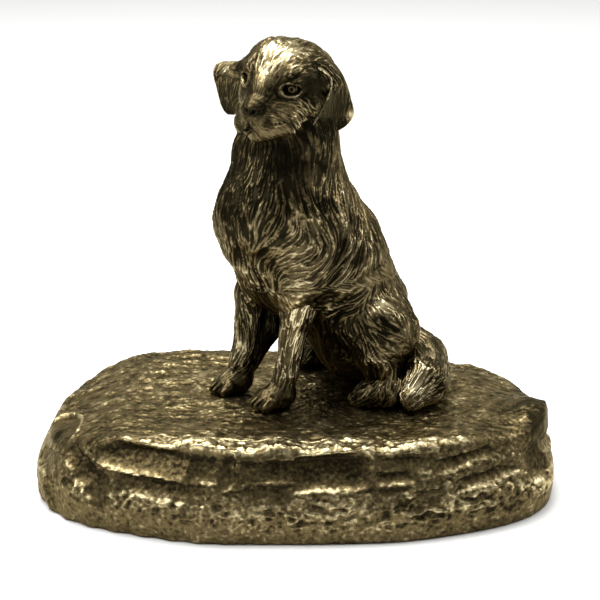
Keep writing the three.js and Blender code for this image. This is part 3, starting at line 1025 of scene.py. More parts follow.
TAIL_STROKES = (
    Stroke((-14, 0, 14), (-0.6, 0.6, -0.6), 7),
    Stroke((-19, 5, 12), (-0.3, 1.0, -0.3), 7),
    Stroke((-23, 12, 9), (0.0, 1.0, -0.2), 7),
    Stroke((-19, 22, 10), (0.5, 1.0, -0.2), 7),
    Stroke((-11, 29, 9), (1.0, 0.7, -0.3), 6),
    Stroke((-3, 31, 5), (1.0, 0.1, -0.5), 6),
)
HEAD_STROKES = (
    Stroke((8, 0, 8), (-1.0, 0.0, 0.7), 5),
    Stroke((0, 0, 13), (-1.0, 0.0, 0.0), 8),
    Stroke((-12, 0, 8), (-0.5, 0.0, -1.0), 8),
    Stroke((-15, 0, -4), (0.0, 0.0, -1.0), 9),
    Stroke((13, 0, 1.5), (-1.0, 0.0, 0.3), 4),
)
FACE_STROKES = (
    Stroke((5, 6, 9), (-1.0, 0.6, 0.4), 5),
    Stroke((-3, 9, 9), (-0.6, 0.7, -0.6), 5),
    Stroke((9, 6.5, -1.5), (-0.9, 0.6, -0.4), 4),
    Stroke((4, 10, -3), (-0.8, 0.3, -0.6), 5),
    Stroke((14, 6, -6), (-1.0, 0.4, -0.2), 4),
    Stroke((7, 8, -10), (-0.8, 0.2, -0.8), 5),
    Stroke((-3, 13, 3), (-0.1, 0.2, -1.0), 5),
    Stroke((-4, 15, -6), (0.2, 0.1, -1.0), 6),
    Stroke((-9, 11, -8), (-0.1, 0.0, -1.0), 7),
)


def mirrored_strokes(strokes: Sequence[Stroke]) -> list[Stroke]:
    """The strokes and their mirror images."""
    return [*strokes, *(replace(s, at=flipped(s.at), lie=flipped(s.lie)) for s in strokes)]


def dog_coat() -> Coat:
    """The whole dog's coat."""
    strokes = [(BODY, s) for s in (*BODY_STROKES, *mirrored_strokes(FLANK_STROKES), *TAIL_STROKES)]
    strokes += [(HEAD, s) for s in (*HEAD_STROKES, *mirrored_strokes(FACE_STROKES))]
    low = np.array([-36.0, -30.0, SEAT_HEIGHT - 4])
    high = np.array([54.0, 44.0, SEAT_HEIGHT + 112])
    return Coat(strokes, low, high)


# ------------------------------------------------------------------------------ the dog
def crease(points: Array, path: Sequence[Point], width: float) -> Array:
    """How near points are to a bent line: exp(-(distance/width)^2) of the nearest segment.

    Args:
        points: places in the line's frame.
        path: the line's corners.
        width: the crease's half-width.

    Returns:
        1 on the line, falling to 0.
    """
    nearest = np.full(points.shape[:-1], 1e9)
    for start, end in zip(path[:-1], path[1:]):
        nearest = np.minimum(nearest, Mass(start, end, 0.0, 0.0).distance(points))
    return bell(nearest, width)


@dataclass
class Torso:
    """Neck, chest, trunk and haunches: one casting, wound as two skins that meet inside it."""

    trunk: tuple[Mass, ...] = (
        Mass((-2, 0, 9), (0.5, 0, 12), 9.3, 9, 4, (1, 1.5, 1)),
        Mass((-1.5, 0, 17), (0.5, 0, 25), 13.3, 15, 5, (1, 1.3, 1)),
        Mass((0.5, 0, 25), (11.5, 0, 42), 15.6, 18.6, 6, (1, 1.05, 1)),
        Mass((11.5, 0, 42), (21, 0, 58), 18.6, 17.2, 6, (1, 0.98, 1)),
        Mass((25, 0, 42), (29.5, 0, 56), 13.2, 14.4, 7, (1, 0.95, 1)),
        Mass((21.5, 0, 60), (20.5, 0, 78), 14.5, 11.6, 8),
        Mass((20, 0, 78), (20, 0, 88), 11.6, 10.5, 6),
        Mass((33, -5, 53), (33, -5, 48), 8.6, 7.4, 3),
        Mass((33, 4, 57), (29, 9, 50), 6.5, 6.0, 3),
        Mass((28.5, -7, 66), (28, -6.5, 77), 7.6, 6.8, 5),
        Mass((15.5, 0, 61), (18, 0, 73), 11.5, 9.6, 5),
    )
    haunch: tuple[Mass, ...] = (
        Mass((-3.2, 12.5, 20), (-0.5, 15, 22), 11.6, 10.2, 3.0),
        Mass((0, 17.5, 24), (1, 19, 16), 7.0, 6.6, 3.0),
        Mass((1, 19, 16), (-1, 20, 7), 6.6, 5.4, 2.5),
    )
    shoulder: tuple[Mass, ...] = (
        Mass((17.5, 9, 60), (22, 10.5, 42), 8.5, 7.8, 3.5),
        Mass((22, 11, 50), (23.5, 11, 38), 7.2, 6.2, 2.0),
    )
    elbows: tuple[Mass, ...] = (
        Mass((22, 10.5, 42), (23.5, 10.2, 32), 7.4, 5.3, 3.0),
        Mass((24, -9.5, 44), (29, -8.4, 33), 7.4, 5.8, 3.0),
    )
    waist: float = 37.0
    overlap: float = 1.2
    locks: Strands = Strands(2.6, 9.0, 0.4)
    strands: Strands = Strands(0.66, 7.0, 0.2)

    def build(self, coat: Coat, bronze: bpy.types.Material) -> None:
        """Wraps both skins, carves their fur and dresses them.

        Args:
            coat: the lie of the hair.
            bronze: the finish.
        """
        masses = [*self.trunk, *both_sides(self.haunch), *both_sides(self.shoulder), *self.elbows]
        waist = SEAT_HEIGHT + self.waist
        upper = Flesh(BODY, masses, (lambda p: waist - self.overlap - p[..., 2],))
        lower = Flesh(BODY, masses, (above_seat, lambda p: p[..., 2] - waist - self.overlap))
        chest = ((10.5, 0, 39), (12, 0, 44), (19.5, 0, 60), (20.2, 0, 74), (20, 0, 84))
        loins = ((-1, 0, 12), (1, 0, 24), (8, 0, 35))
        self.skin("neck_and_chest", upper, Wrap(chest, 430, 170, 24), coat, bronze)
        self.skin("loins_and_haunches", lower, Wrap(loins, 440, 120, 48), coat, bronze)

    def skin(self, name: str, flesh: Flesh, plan: Wrap, coat: Coat, bronze: bpy.types.Material) -> None:
        """One skin of the trunk.

        Args:
            name: the piece's name.
            flesh: what it wraps.
            plan: how it is wound.
            coat: the lie of the hair.
            bronze: the finish.
        """
        bare = wrap(flesh, plan)
        local = BODY.local(bare.points)
        broken = 0.8 + 0.35 * GRAIN(bare.points, 11.0)
        smooth = 1 - 0.85 * bell(np.linalg.norm(local - np.array([24, 9, 74]), axis=-1), 8.0)
        relief = fur(bare, coat, (self.locks, self.strands), broken * smooth)
        lumps = 0.45 * GRAIN.layered(bare.points + 9, 8.0, 2)
        collar = crease(local, ((22.2, 9.5, 69), (27, 8, 64), (32, 2, 58.5)), 0.7)
        fold = crease(local, ((25.5, 15.5, 52), (26.5, 15, 40)), 0.6)
        height = relief.height + lumps * ease(0.5, 2.5, local[..., 2]) + 0.55 * collar - 0.4 * fold
        tone = relief.tone + 0.3 * collar - 0.3 * fold
        # Painted contact shade: darker in the last 1.6 mm above the rock.
        tone = tone - 0.35 * ease(1.6, 0.2, local[..., 2])
        piece = mesh_from_skin(name, bare.pushed(height), np.clip(tone, 0, 1))
        place(piece, "bronze", bronze, "dog_torso")


def toes(base: Point, ahead: Point, spread: float, radius: float, length: float) -> list[Mass]:
    """Four toes fanned over the front of a paw, the middle pair longer.

    Args:
        base: middle of the paw, where the toes start.
        ahead: level direction the paw points in.
        spread: distance between neighbouring toes.
        radius: a toe's radius.
        length: a middle toe's length.

    Returns:
        One mass for each toe.
    """
    across = np.array([-ahead[1], ahead[0], 0.0])
    forward = np.array([ahead[0], ahead[1], 0.0])
    made = []
    for rank in (-1.5, -0.5, 0.5, 1.5):
        reach = length * (1.0 if abs(rank) < 1 else 0.72)
        start = np.array(base) + across * rank * spread * 0.8
        knuckle = start + forward * reach * 0.55 + across * rank * spread * 0.15 + np.array([0, 0, 0.5])
        tip = start + forward * reach + across * rank * spread * 0.2 - np.array([0, 0, 0.9])
        made.append(Mass(tuple(start), tuple(knuckle), radius * 0.9, radius * 1.1, 0.8))
        made.append(Mass(tuple(knuckle), tuple(tip), radius * 1.1, radius * 0.85, 0.3))
    return made


def paw_dimples(local: Array, base: Point, ahead: Point, spread: float, length: float) -> Array:
    """Grooves between the toes, as a depth at each point."""
    across = np.array([-ahead[1], ahead[0], 0.0])
    forward = np.array([ahead[0], ahead[1], 0.0])
    depth = np.zeros(local.shape[:-1])
    for gap in (-1.0, 0.0, 1.0):
        start = np.array(base) + across * gap * spread * 0.85 + forward * length * 0.25
        end = np.array(base) + across * gap * spread * 1.1 + forward * length * 1.5
        flat = local * np.array([1, 1, 0.35])
        path = (tuple(start * np.array([1, 1, 0.35])), tuple(end * np.array([1, 1, 0.35])))
        depth = np.maximum(depth, crease(flat, path, 0.42))
    return depth


@dataclass
class Foreleg:
    """A foreleg from the shoulder's joint to the toes."""

    side: Side
    masses: tuple[Mass, ...]
    spine: tuple[Point, ...]
    paw: Point
    ahead: Point = (1.0, 0.0, 0.0)
    spread: float = 2.3
    toe: float = 1.75
    reach: float = 5.2
    locks: Strands = Strands(2.2, 9.0, 0.2)
    strands: Strands = Strands(0.55, 6.5, 0.12)

    def build(self, coat: Coat, bronze: bpy.types.Material) -> None:
        """Wraps the leg with its toes, carves its fur and dresses it.

        Args:
            coat: the lie of the hair.
            bronze: the finish.
        """
        fan = toes(self.paw, self.ahead, self.spread, self.toe, self.reach)
        flesh = Flesh(BODY, [*self.masses, *fan], (above_seat,))
        skin = wrap(flesh, Wrap(self.spine, 190, 190, 26))
        local = BODY.local(skin.points)
        smooth = 0.35 + 0.65 * ease(5.5, 9.5, local[..., 2])
        relief = fur(skin, coat, (self.locks, self.strands), smooth)
        gaps = paw_dimples(local, self.paw, self.ahead, self.spread, self.reach)
        height = relief.height - 0.5 * gaps * ease(7.5, 5.5, local[..., 2])
        tone = np.clip(relief.tone + 0.12 * (1 - smooth) - 0.4 * gaps * ease(7.5, 5.5, local[..., 2]), 0, 1)
        # Painted contact shade: darker just above the rock.
        tone = tone - 0.4 * ease(1.2, 0.2, local[..., 2])
        name = f"foreleg_{self.side.name.lower()}"
        piece = mesh_from_skin(f"{name}_casting", skin.pushed(height), np.clip(tone, 0, 1))
        place(piece, "bronze", bronze, name)


def left_foreleg() -> Foreleg:
    """The near foreleg, upright and slightly forward at the paw."""
    return Foreleg(
        Side.LEFT,
        (
            Mass((22, 10.5, 42), (23.5, 10.2, 29), 7.0, 5.0, 4),
            Mass((23.5, 10.2, 29), (27, 9.8, 11), 4.7, 3.2, 2.5),
            Mass((22.2, 10.4, 31), (21.6, 10.6, 27), 3.4, 2.0, 2.5),
            Mass((27, 9.8, 11), (28.5, 9.8, 5), 3.3, 3.8, 2),
            Mass((28.5, 9.8, 4.0), (32.5, 9.8, 3.2), 4.1, 3.6, 1.5, (1, 1.1, 1)),
        ),
        ((22.6, 10.4, 37), (23.5, 10.2, 29), (27, 9.8, 11), (28.6, 9.8, 5.4), (32.5, 9.8, 3.4)),
        (31.5, 9.8, 2.8),
    )


def right_foreleg() -> Foreleg:
    """The far foreleg, stepped a little ahead of the near one."""
    return Foreleg(
        Side.RIGHT,
        (
            Mass((24, -9.5, 44), (29.5, -8.2, 31), 7.0, 5.4, 4),
            Mass((29.5, -8.2, 31), (33.5, -7.5, 10), 5.0, 3.5, 2.5),
            Mass((25, -8.4, 38), (25, -8, 18), 5.0, 3.4, 2.5, (1, 0.7, 1)),
            Mass((25, -8, 18), (30.5, -7.6, 8), 3.4, 2.2, 2.5, (1, 0.7, 1)),
            Mass((33.5, -7.5, 10), (35, -7.3, 5), 3.5, 3.9, 2),
            Mass((35, -7.3, 4.0), (38.6, -7.0, 3.2), 4.2, 3.7, 1.5, (1, 1.1, 1)),
        ),
        ((27.5, -8.7, 36), (29.5, -8.2, 31), (33.5, -7.5, 10), (35.2, -7.3, 5.4), (38.6, -7.0, 3.4)),
        (37.6, -7.1, 2.8),
    )


@dataclass
class HindPaw:
    """A hind foot, flat on the rock under the haunch."""

    side: Side
    masses: tuple[Mass, ...]
    spine: tuple[Point, ...]
    paw: Point
    ahead: Point
    spread: float = 2.3
    toe: float = 1.8
    reach: float = 5.0
    locks: Strands = Strands(1.6, 3.5, 0.28)
    strands: Strands = Strands(0.6, 3.0, 0.14)

    def build(self, coat: Coat, bronze: bpy.types.Material) -> None:
        """Wraps the foot with its toes, carves it and dresses it.

        Args:
            coat: the lie of the hair.
            bronze: the finish.
        """
        fan = toes(self.paw, self.ahead, self.spread, self.toe, self.reach)
        flesh = Flesh(BODY, [*self.masses, *fan], (above_seat,))
        skin = wrap(flesh, Wrap(self.spine, 170, 110, 34, (0, 0, 1)))
        local = BODY.local(skin.points)
        relief = fur(skin, coat, (self.locks, self.strands), 0.8)
        gaps = paw_dimples(local, self.paw, self.ahead, self.spread, self.reach)
        height = relief.height - 0.5 * gaps
        # Darker in the grooves between the toes, and painted contact shade just above the rock.
        tone = relief.tone - 0.4 * gaps - 0.4 * ease(1.2, 0.2, local[..., 2])
        name = f"hind_paw_{self.side.name.lower()}"
        piece = mesh_from_skin(f"{name}_casting", skin.pushed(height), np.clip(tone, 0, 1))
        place(piece, "bronze", bronze, name)


def left_hind_paw() -> HindPaw:
    """The near hind foot, turned a little inwards."""
    return HindPaw(
        Side.LEFT,
        (
            Mass((-6, 22.5, 4.4), (0, 21.5, 5.0), 4.6, 5.2, 3),
            Mass((0, 21.5, 4.6), (4.4, 19.6, 3.4), 5.2, 4.4, 2, (1, 1.1, 1)),
        ),
        ((-5, 22.2, 4.4), (0, 21.4, 4.6), (4.0, 19.8, 3.5)),
        (4.0, 19.6, 2.9),
        (0.92, -0.39, 0.0),
    )


def right_hind_paw() -> HindPaw:
    """The far hind foot."""
    return HindPaw(
        Side.RIGHT,
        (
            Mass((-6, -21, 4.4), (0, -20, 5.0), 4.6, 5.2, 3),
            Mass((0, -20, 4.6), (5.6, -19.6, 3.4), 5.2, 4.4, 2, (1, 1.1, 1)),
        ),
        ((-5, -20.9, 4.4), (0, -20, 4.6), (5.0, -19.6, 3.5)),
        (5.0, -19.6, 2.9),
        (1.0, 0.0, 0.0),
    )


@dataclass
class Tail:
    """A thick feathered tail, curled round the dog's left side on the rock."""

    masses: tuple[Mass, ...] = (
        Mass((-12, 0, 12), (-17, 4, 9), 7, 7.2, 4),
        Mass((-17, 4, 9), (-18, 11, 7.6), 7.2, 7.4, 4),
        Mass((-18, 11, 7.6), (-14.5, 19, 7.0), 7.4, 7.2, 4),
        Mass((-14.5, 19, 7.0), (-10.5, 25.5, 7), 7.2, 6.6, 4),
        Mass((-10.5, 25.5, 7), (-4.5, 29.2, 4.0), 6.6, 3.6, 4),
    )
    spine: tuple[Point, ...] = (
        (-11, 0, 12),
        (-17, 5, 8.6),
        (-17.8, 11, 7.4),
        (-14.5, 19, 6.8),
        (-10.5, 25.5, 6.4),
        (-5.2, 28.8, 4.4),
    )
    locks: Strands = Strands(2.6, 14.0, 0.4)
    strands: Strands = Strands(0.62, 10.0, 0.18)

    def build(self, coat: Coat, bronze: bpy.types.Material) -> None:
        """Wraps the tail, carves its feathering and dresses it.

        Args:
            coat: the lie of the hair.
            bronze: the finish.
        """
        flesh = Flesh(BODY, self.masses, (above_seat,))
        skin = wrap(flesh, Wrap(self.spine, 200, 230, 24, (0, 0, 1)))
        worn = crease(BODY.local(skin.points), ((-2.5, 31.5, 5), (-4.5, 32, 12)), 2.4)
        relief = fur(skin, coat, (self.locks, self.strands), 1 - 0.75 * worn)
        piece = mesh_from_skin("tail_casting", skin.pushed(relief.height), np.clip(relief.tone, 0, 1))
        place(piece, "bronze", bronze, "tail")


@dataclass
class Head:
    """Skull, muzzle, jaw and eyes."""

    masses: tuple[Mass, ...] = (
        Mass((-4.5, 0, 0.4), (2, 0, 1.4), 12.0, 11.3, 0, (1, 1.02, 1)),
        Mass((-3, -5, 3.4), (0.6, -4.2, 5.6), 9.6, 8.2, 3.0),
        Mass((3, 0, 3.0), (6.0, 0, 0.5), 8.6, 8.0, 4, (1, 1.05, 0.95)),
        Mass((7.6, 0, -0.4), (15.8, 0, -3.0), 6.2, 4.6, 3, (1, 1.0, 1)),
        Mass((-4, 0, -2), (-1.5, 1, -17), 11, 11, 5),
    )
    paired: tuple[Mass, ...] = (
        Mass((5.0, 4.2, 7.6), (8.0, 6.6, 6.6), 3.6, 2.3, 2.0),
        Mass((3.5, 8.4, -2.4), (9.6, 6.0, -1.6), 4.6, 3.0, 2.4),
        Mass((9.0, 4.2, -7.6), (15.4, 3.5, -6.8), 4.4, 3.7, 1.8),
        Mass((1.5, 5.4, -5.5), (6.5, 5.8, -7.2), 5.2, 4.2, 3.0),
    )
    jaw: tuple[Mass, ...] = (
        Mass((2, 0, -8.6), (14.2, 0, -9.6), 5.0, 2.9, 0.3, (1, 1.2, 1)),
        Mass((16.2, 0, -1.2), (17.0, 0, -1.6), 3.3, 3.0, 0.5, (1, 1.25, 1.0)),
    )
    ear_roots: tuple[Mass, ...] = (
        Mass((0.5, -9.0, 4.5), (1.5, -16.0, 1.6), 4.0, 2.6, 2.5),
        Mass((-3.0, 9.0, 6.5), (-3.6, 12.6, 3.5), 4.0, 2.8, 2.5),
    )
    eye: Point = (8.0, 6.3, 3.6)
    eye_radius: float = 2.1
    gaze: Point = (0.9, 0.4, 0.1)
    mouth: tuple[Point, ...] = (
        (19.4, 0, -6.9),
        (18.6, 1.6, -8.4),
        (17.8, 2.8, -9.7),
        (16.2, 4.6, -10.8),
        (14.0, 6.3, -11.3),
        (10.5, 7.6, -11.2),
    )
    locks: Strands = Strands(1.8, 4.5, 0.2)
    strands: Strands = Strands(0.55, 3.6, 0.13)

    def folded(self, local: Array) -> Array:
        """Points seen on the dog's left, by taking the size of their sideways place."""
        return np.stack([local[..., 0], np.abs(local[..., 1]), local[..., 2]], -1)

    def face(self, local: Array) -> tuple[Array, Array, Array]:
        """Eyes, mouth and nose over the skull.

        Args:
            local: the skin in the head's frame.

        Returns:
            Heights, darkness up to 1 and brightness below 0, and how much fur stays.
        """
        half = self.folded(local)
        look, across, over = self.sight()
        off = half - np.array(self.eye)
        ahead = off @ look
        ring = np.hypot(off @ across, 1.55 * (off @ over))
        front = ease(-2.5, 0, ahead)
        lid = bell(ring - 2.6, 0.45) * front
        under = bell(ring - 4.0, 0.5) * front * ease(0.5, -0.8, off @ over)
        pressed = np.array([0.5, 1, 1])
        mouth = crease(half * pressed, [np.array(p) * pressed for p in self.mouth], 0.4)
        mouth = mouth * ease(8.0, 10.0, half[..., 0])
        philtrum = crease(half, ((19.8, 0, -2.6), (19.4, 0, -6.8)), 0.36)
        nostril = crease(half, ((19.9, 1.1, -1.6), (18.2, 2.7, -0.9)), 0.62)
        pad = crease(half, ((16.4, 3.2, 1.0), (18.4, 3.4, -1.4), (19.0, 2.0, -3.6), (19.2, 0, -4.0)), 0.42)
        whisker = np.zeros(local.shape[:-1])
        for row, column in product(range(3), range(4)):
            pit = np.array([16.2 - 1.7 * column, 6.2 + 0.5 * column, -5.0 - 1.5 * row])
            whisker = np.maximum(whisker, bell(np.linalg.norm(half - pit, axis=-1), 0.45))
        height = 0.7 * lid - 0.3 * under - 1.4 * mouth - 0.4 * philtrum
        height = height - 1.2 * nostril - 0.45 * pad - 0.2 * whisker
        dark = 0.8 * bell(ring, 1.9) * front + 1.3 * mouth + 0.7 * philtrum + 1.2 * nostril + 0.6 * pad
        dark = np.clip(dark + 0.4 * whisker + 0.5 * under, 0, 1) * (1 - 0.9 * lid)
        # Painted highlight: the lower lid is painted brighter, as if lit from above; the whole lid crest is
        # brighter too, as worn patina.
        bright = lid * ease(0.4, -0.6, off @ over) + 0.5 * lid
        nose = ease(16.0, 17.0, half[..., 0]) * ease(-5.2, -4.2, half[..., 2])
        muzzle = ease(9.5, 12.5, half[..., 0])
        temple = bell(np.linalg.norm(half - np.array([4.0, 10.5, 5.0]), axis=-1), 5.5)
        keep = (1 - 0.85 * nose) * (1 - 0.85 * bell(ring, 3.6) * front) * (1 - 0.7 * muzzle)
        return height, dark - 0.5 * bright, keep * (1 - 0.6 * temple)

    def sight(self) -> tuple[Array, Array, Array]:
        """The left eye's line of sight, and the directions across and over it."""
        look = np.array(self.gaze) / np.linalg.norm(self.gaze)
        across = np.cross(look, (0, 0, 1.0))
        across /= np.linalg.norm(across)
        return look, across, np.cross(across, look)

    def sockets(self, local: Array) -> Array:
        """How far the skin sinks along each eye's line of sight to bare the ball.

        Args:
            local: the skin in the head's frame.

        Returns:
            Moves in the head's frame.
        """
        look, across, over = self.sight()
        off = self.folded(local) - np.array(self.eye)
        ahead = off @ look
        ring = np.hypot(off @ across, 1.55 * (off @ over))
        sink = ease(2.9, 2.0, ring) * ease(-2.5, 0, ahead) * np.clip(0.9 - ahead, -6.0, 1.0)
        side = np.where(local[..., 1:2] < 0, -1.0, 1.0)
        return sink[..., None] * look * np.concatenate([side * 0 + 1, side, side * 0 + 1], -1)

    def build(self, coat: Coat, bronze: bpy.types.Material) -> None:
        """Wraps the head, models its face, and sets the eyes.

        Args:
            coat: the lie of the hair.
            bronze: the finish.
        """
        flesh = Flesh(HEAD, [*self.masses, *both_sides(self.paired), *self.jaw, *self.ear_roots])
        spine = ((-4, 0, 0.5), (2, 0, 0), (7, 0, -3.2), (14.2, 0, -5.2))
        skin = wrap(flesh, Wrap(spine, 340, 140, 70))
        local = HEAD.local(skin.points)
        height, dark, keep = self.face(local)
        relief = fur(skin, coat, (self.locks, self.strands), keep)
        tone = np.clip(relief.tone - 0.7 * dark, 0, 1)
        carved = skin.pushed(height + relief.height)
        carved = Skin(carved.points + HEAD.direction(self.sockets(local)), carved.start, carved.end)
        piece = mesh_from_skin("dog_head_casting", carved, tone)
        place(piece, "bronze", bronze, "dog_head")
        for side in Side:
            self.eyeball(side, bronze)

    def eyeball(self, side: Side, bronze: bpy.types.Material) -> None:
        """One eye: a ball with a pupil drilled into it and a ring cut round the iris.

        Args:
            side: which eye.
            bronze: its finish.
        """
        turn = np.linspace(0, 2 * np.pi, 64, endpoint=False)
        lean = np.linspace(0, np.pi, 50)[1:-1, None]
        gaze = self.sight()[0] * np.array([1, side.value, 1])
        across = np.cross(gaze, [0, 0, 1.0])
        across /= np.linalg.norm(across)
        over = np.cross(across, gaze)
        out = (across * np.cos(turn)[:, None] + over * np.sin(turn)[:, None])[None]
        ray = out * np.sin(lean)[..., None] + gaze * np.cos(lean)[..., None]
        angle = np.degrees(lean)
        radius = self.eye_radius - 0.5 * bell(angle, 15) - 0.14 * bell(angle - 38, 4)
        centre = np.array([self.eye[0], self.eye[1] * side.value, self.eye[2]])
        shape = centre + ray * radius[..., None]
        poles = [centre + gaze * (self.eye_radius - 0.5), centre - gaze * self.eye_radius]
        skin = Skin(HEAD.world(shape), *(HEAD.world(p) for p in poles))
        tone = np.broadcast_to(0.5 - 0.5 * bell(angle, 18) - 0.3 * bell(angle - 38, 5), (48, 64))
        piece = mesh_from_skin(f"eye_{side.name.lower()}", skin, tone)
        place(piece, "bronze", bronze)


@dataclass
class Ear:
    """A hanging ear: a thick leaf between a front rim and a rear rim."""

    side: Side
    front: tuple[Point, ...]
    rear: tuple[Point, ...]
    outward: Point
    hollow: float
    thickness: float = 2.0
    locks: Strands = Strands(2.2, 7.0, 0.16)
    strands: Strands = Strands(0.6, 5.5, 0.1)

    def build(self, coat: Coat, bronze: bpy.types.Material) -> None:
        """Lofts the leaf, carves its hair and dresses it.

        At each step from root to tip the section is a flat oval from rim to rim: place across
        is cos(turn) and offset is sin(turn) times half the thickness, with a bead at the rims
        and a hollow between them.

        Args:
            coat: the lie of the hair.
            bronze: the finish.
        """
        sides, steps = grid_steps(220), grid_steps(170)
        share = np.linspace(0, 1, steps)
        front, _ = spine_samples(HEAD.world(self.front), share)
        rear, _ = spine_samples(HEAD.world(self.rear), share)
        turn = np.linspace(0, 2 * np.pi, sides, endpoint=False)
        across = np.cos(turn) * 0.5 + 0.5
        middle = front[:, None] * (1 - across[None, :, None]) + rear[:, None] * across[None, :, None]
        width = rear - front
        down = np.gradient((front + rear) / 2, axis=0)
        normal = np.cross(width, down)
        normal /= np.linalg.norm(normal, axis=1, keepdims=True) + 1e-9
        facing = np.sign(np.sum(normal * HEAD.direction(self.outward), axis=1))
        normal *= facing[:, None]
        span = np.linalg.norm(width, axis=1)[:, None]
        thick = self.thickness * np.minimum(1, (span / 4) ** 0.7) * (0.85 + 0.35 * np.abs(np.cos(turn)) ** 4)
        bowl = -self.hollow * np.sin(turn) ** 2 * np.minimum(1, span / 8)
        offset = np.sign(np.sin(turn)) * np.abs(np.sin(turn)) ** 0.6 * thick / 2 + bowl
        points = middle + normal[:, None] * offset[..., None]
        skin = Skin(points, points[0].mean(0), points[-1].mean(0))
        relief = fur(skin, coat, (self.locks, self.strands), 0.6)
        rim = ease(0.9, 0.99, np.abs(np.cos(turn)))[None]
        tone = np.clip(relief.tone + 0.45 * rim, 0, 1)
        name = f"ear_{self.side.name.lower()}"
        piece = mesh_from_skin(f"{name}_casting", skin.pushed(relief.height), tone, 0.4 * rim)
        place(piece, "bronze", bronze, name)


def left_ear() -> Ear:
    """The near ear, hanging in a broad triangle over the cheek."""
    return Ear(
        Side.LEFT,
        (
            (1.5, 7.5, 8.5),
            (0.4, 11.0, 7.8),
            (-0.9, 13.6, 4.7),
            (1.4, 13.0, -1.6),
            (5.4, 12.2, -6.2),
            (8.0, 11.4, -8.6),
            (6.6, 11.8, -10.0),
            (1.0, 13.2, -11.2),
        ),
        (
            (-7.5, 7.5, 8.0),
            (-7.4, 11.2, 7.2),
            (-8.6, 13.6, 3.2),
            (-10.2, 14.9, -1.4),
            (-11.8, 15.9, -6.0),
            (-11.4, 16.0, -8.2),
            (-7.0, 15.6, -10.2),
            (0.9, 13.3, -11.3),
        ),
        (0.2, 1.0, 0.0),
        0.9,
    )


def right_ear() -> Ear:
    """The far ear, folded out sideways and then down."""
    return Ear(
        Side.RIGHT,
        (
            (-2.5, -11.0, 5.0),
            (2.0, -11.0, 4.0),
            (4.0, -11.4, 1.8),
            (4.2, -11.6, -3.0),
            (4.0, -12.6, -7.0),
            (3.2, -13.8, -10.2),
            (2.6, -15.6, -11.4),
        ),
        (
            (-3.6, -24.6, 0.8),
            (-2.0, -26.0, -0.4),
            (0.0, -25.0, -2.6),
            (0.2, -23.8, -5.2),
            (0.6, -22.4, -8.0),
            (1.4, -20.4, -10.8),
            (2.2, -18.0, -12.0),
        ),
        (1.0, -0.6, 0.2),
        0.5,
        1.7,
    )


# ------------------------------------------------------------------------------ the rock
@dataclass(frozen=True)
class Cove:
    """A bite out of the rock's face: sheer at the top under a lip, curving out to a ledge."""

    middle: float
    height: float
    half_width: float
    half_height: float
    depth: float
    slope: float = 0.0

    def bite(self, along: Array, height: Array) -> Array:
        """Depth of the bite: sqrt(1 - (1 - w)^2) up the cove, sqrt(1 - u^2) across it.

        Args:
            along: millimetres along the face.
            height: millimetres above the table.

        Returns:
            Millimetres cut away.
        """
        u = (along - self.middle) / self.half_width
        w = (height - self.height - self.slope * (along - self.middle)) / (2 * self.half_height) + 0.5
        lip = ease(1.06, 0.94, w)
        rise = np.sqrt(np.clip(1 - (1 - np.clip(w, 0, 1)) ** 2, 0, 1))
        return self.depth * rise * np.sqrt(np.clip(1 - u**2, 0, 1)) * lip


class Outline:
    """The rock's oval: a rounded superellipse with slow swells, walked at even speed."""

    def __init__(self, half_length: float, half_depth: float, roundness: float = 2.6) -> None:
        """Measures the outline from the front middle round to the right.

        Args:
            half_length: half its size along X.
            half_depth: half its size along Y.
            roundness: exponent of the oval.
        """
        turn = np.linspace(-np.pi / 2, 1.5 * np.pi, 6001)
        x, y = np.abs(np.cos(turn)) / half_length, np.abs(np.sin(turn)) / half_depth
        radius = (x**roundness + y**roundness) ** (-1 / roundness)
        swells = ((0.018, 2, 0.4), (0.02, 3, -0.6), (0.014, 7, 1.1))
        swell = sum(size * np.cos(times * turn + shift) for size, times, shift in swells)
        radius = radius * (1 + np.sin(2 * turn) ** 2 * swell)
        self.path = np.stack([radius * np.cos(turn), radius * np.sin(turn)], -1)
        step = np.linalg.norm(np.diff(self.path, axis=0), axis=1)
        self.length = np.concatenate([[0], np.cumsum(step)])

    def walk(self, along: Array) -> tuple[Array, Array]:
        """Points and outward level directions at distances along the outline.

        Args:
            along: millimetres from the front middle, to the right.

        Returns:
            Points and directions, in the plane.
        """
        at = np.mod(along, self.length[-1])
        point = np.stack([np.interp(at, self.length, self.path[:, k]) for k in range(2)], -1)
        slope = np.gradient(self.path, self.length, axis=0)
        way = np.stack([np.interp(at, self.length, slope[:, k]) for k in range(2)], -1)
        way /= np.linalg.norm(way, axis=-1, keepdims=True)
        return point, np.stack([way[..., 1], -way[..., 0]], -1)


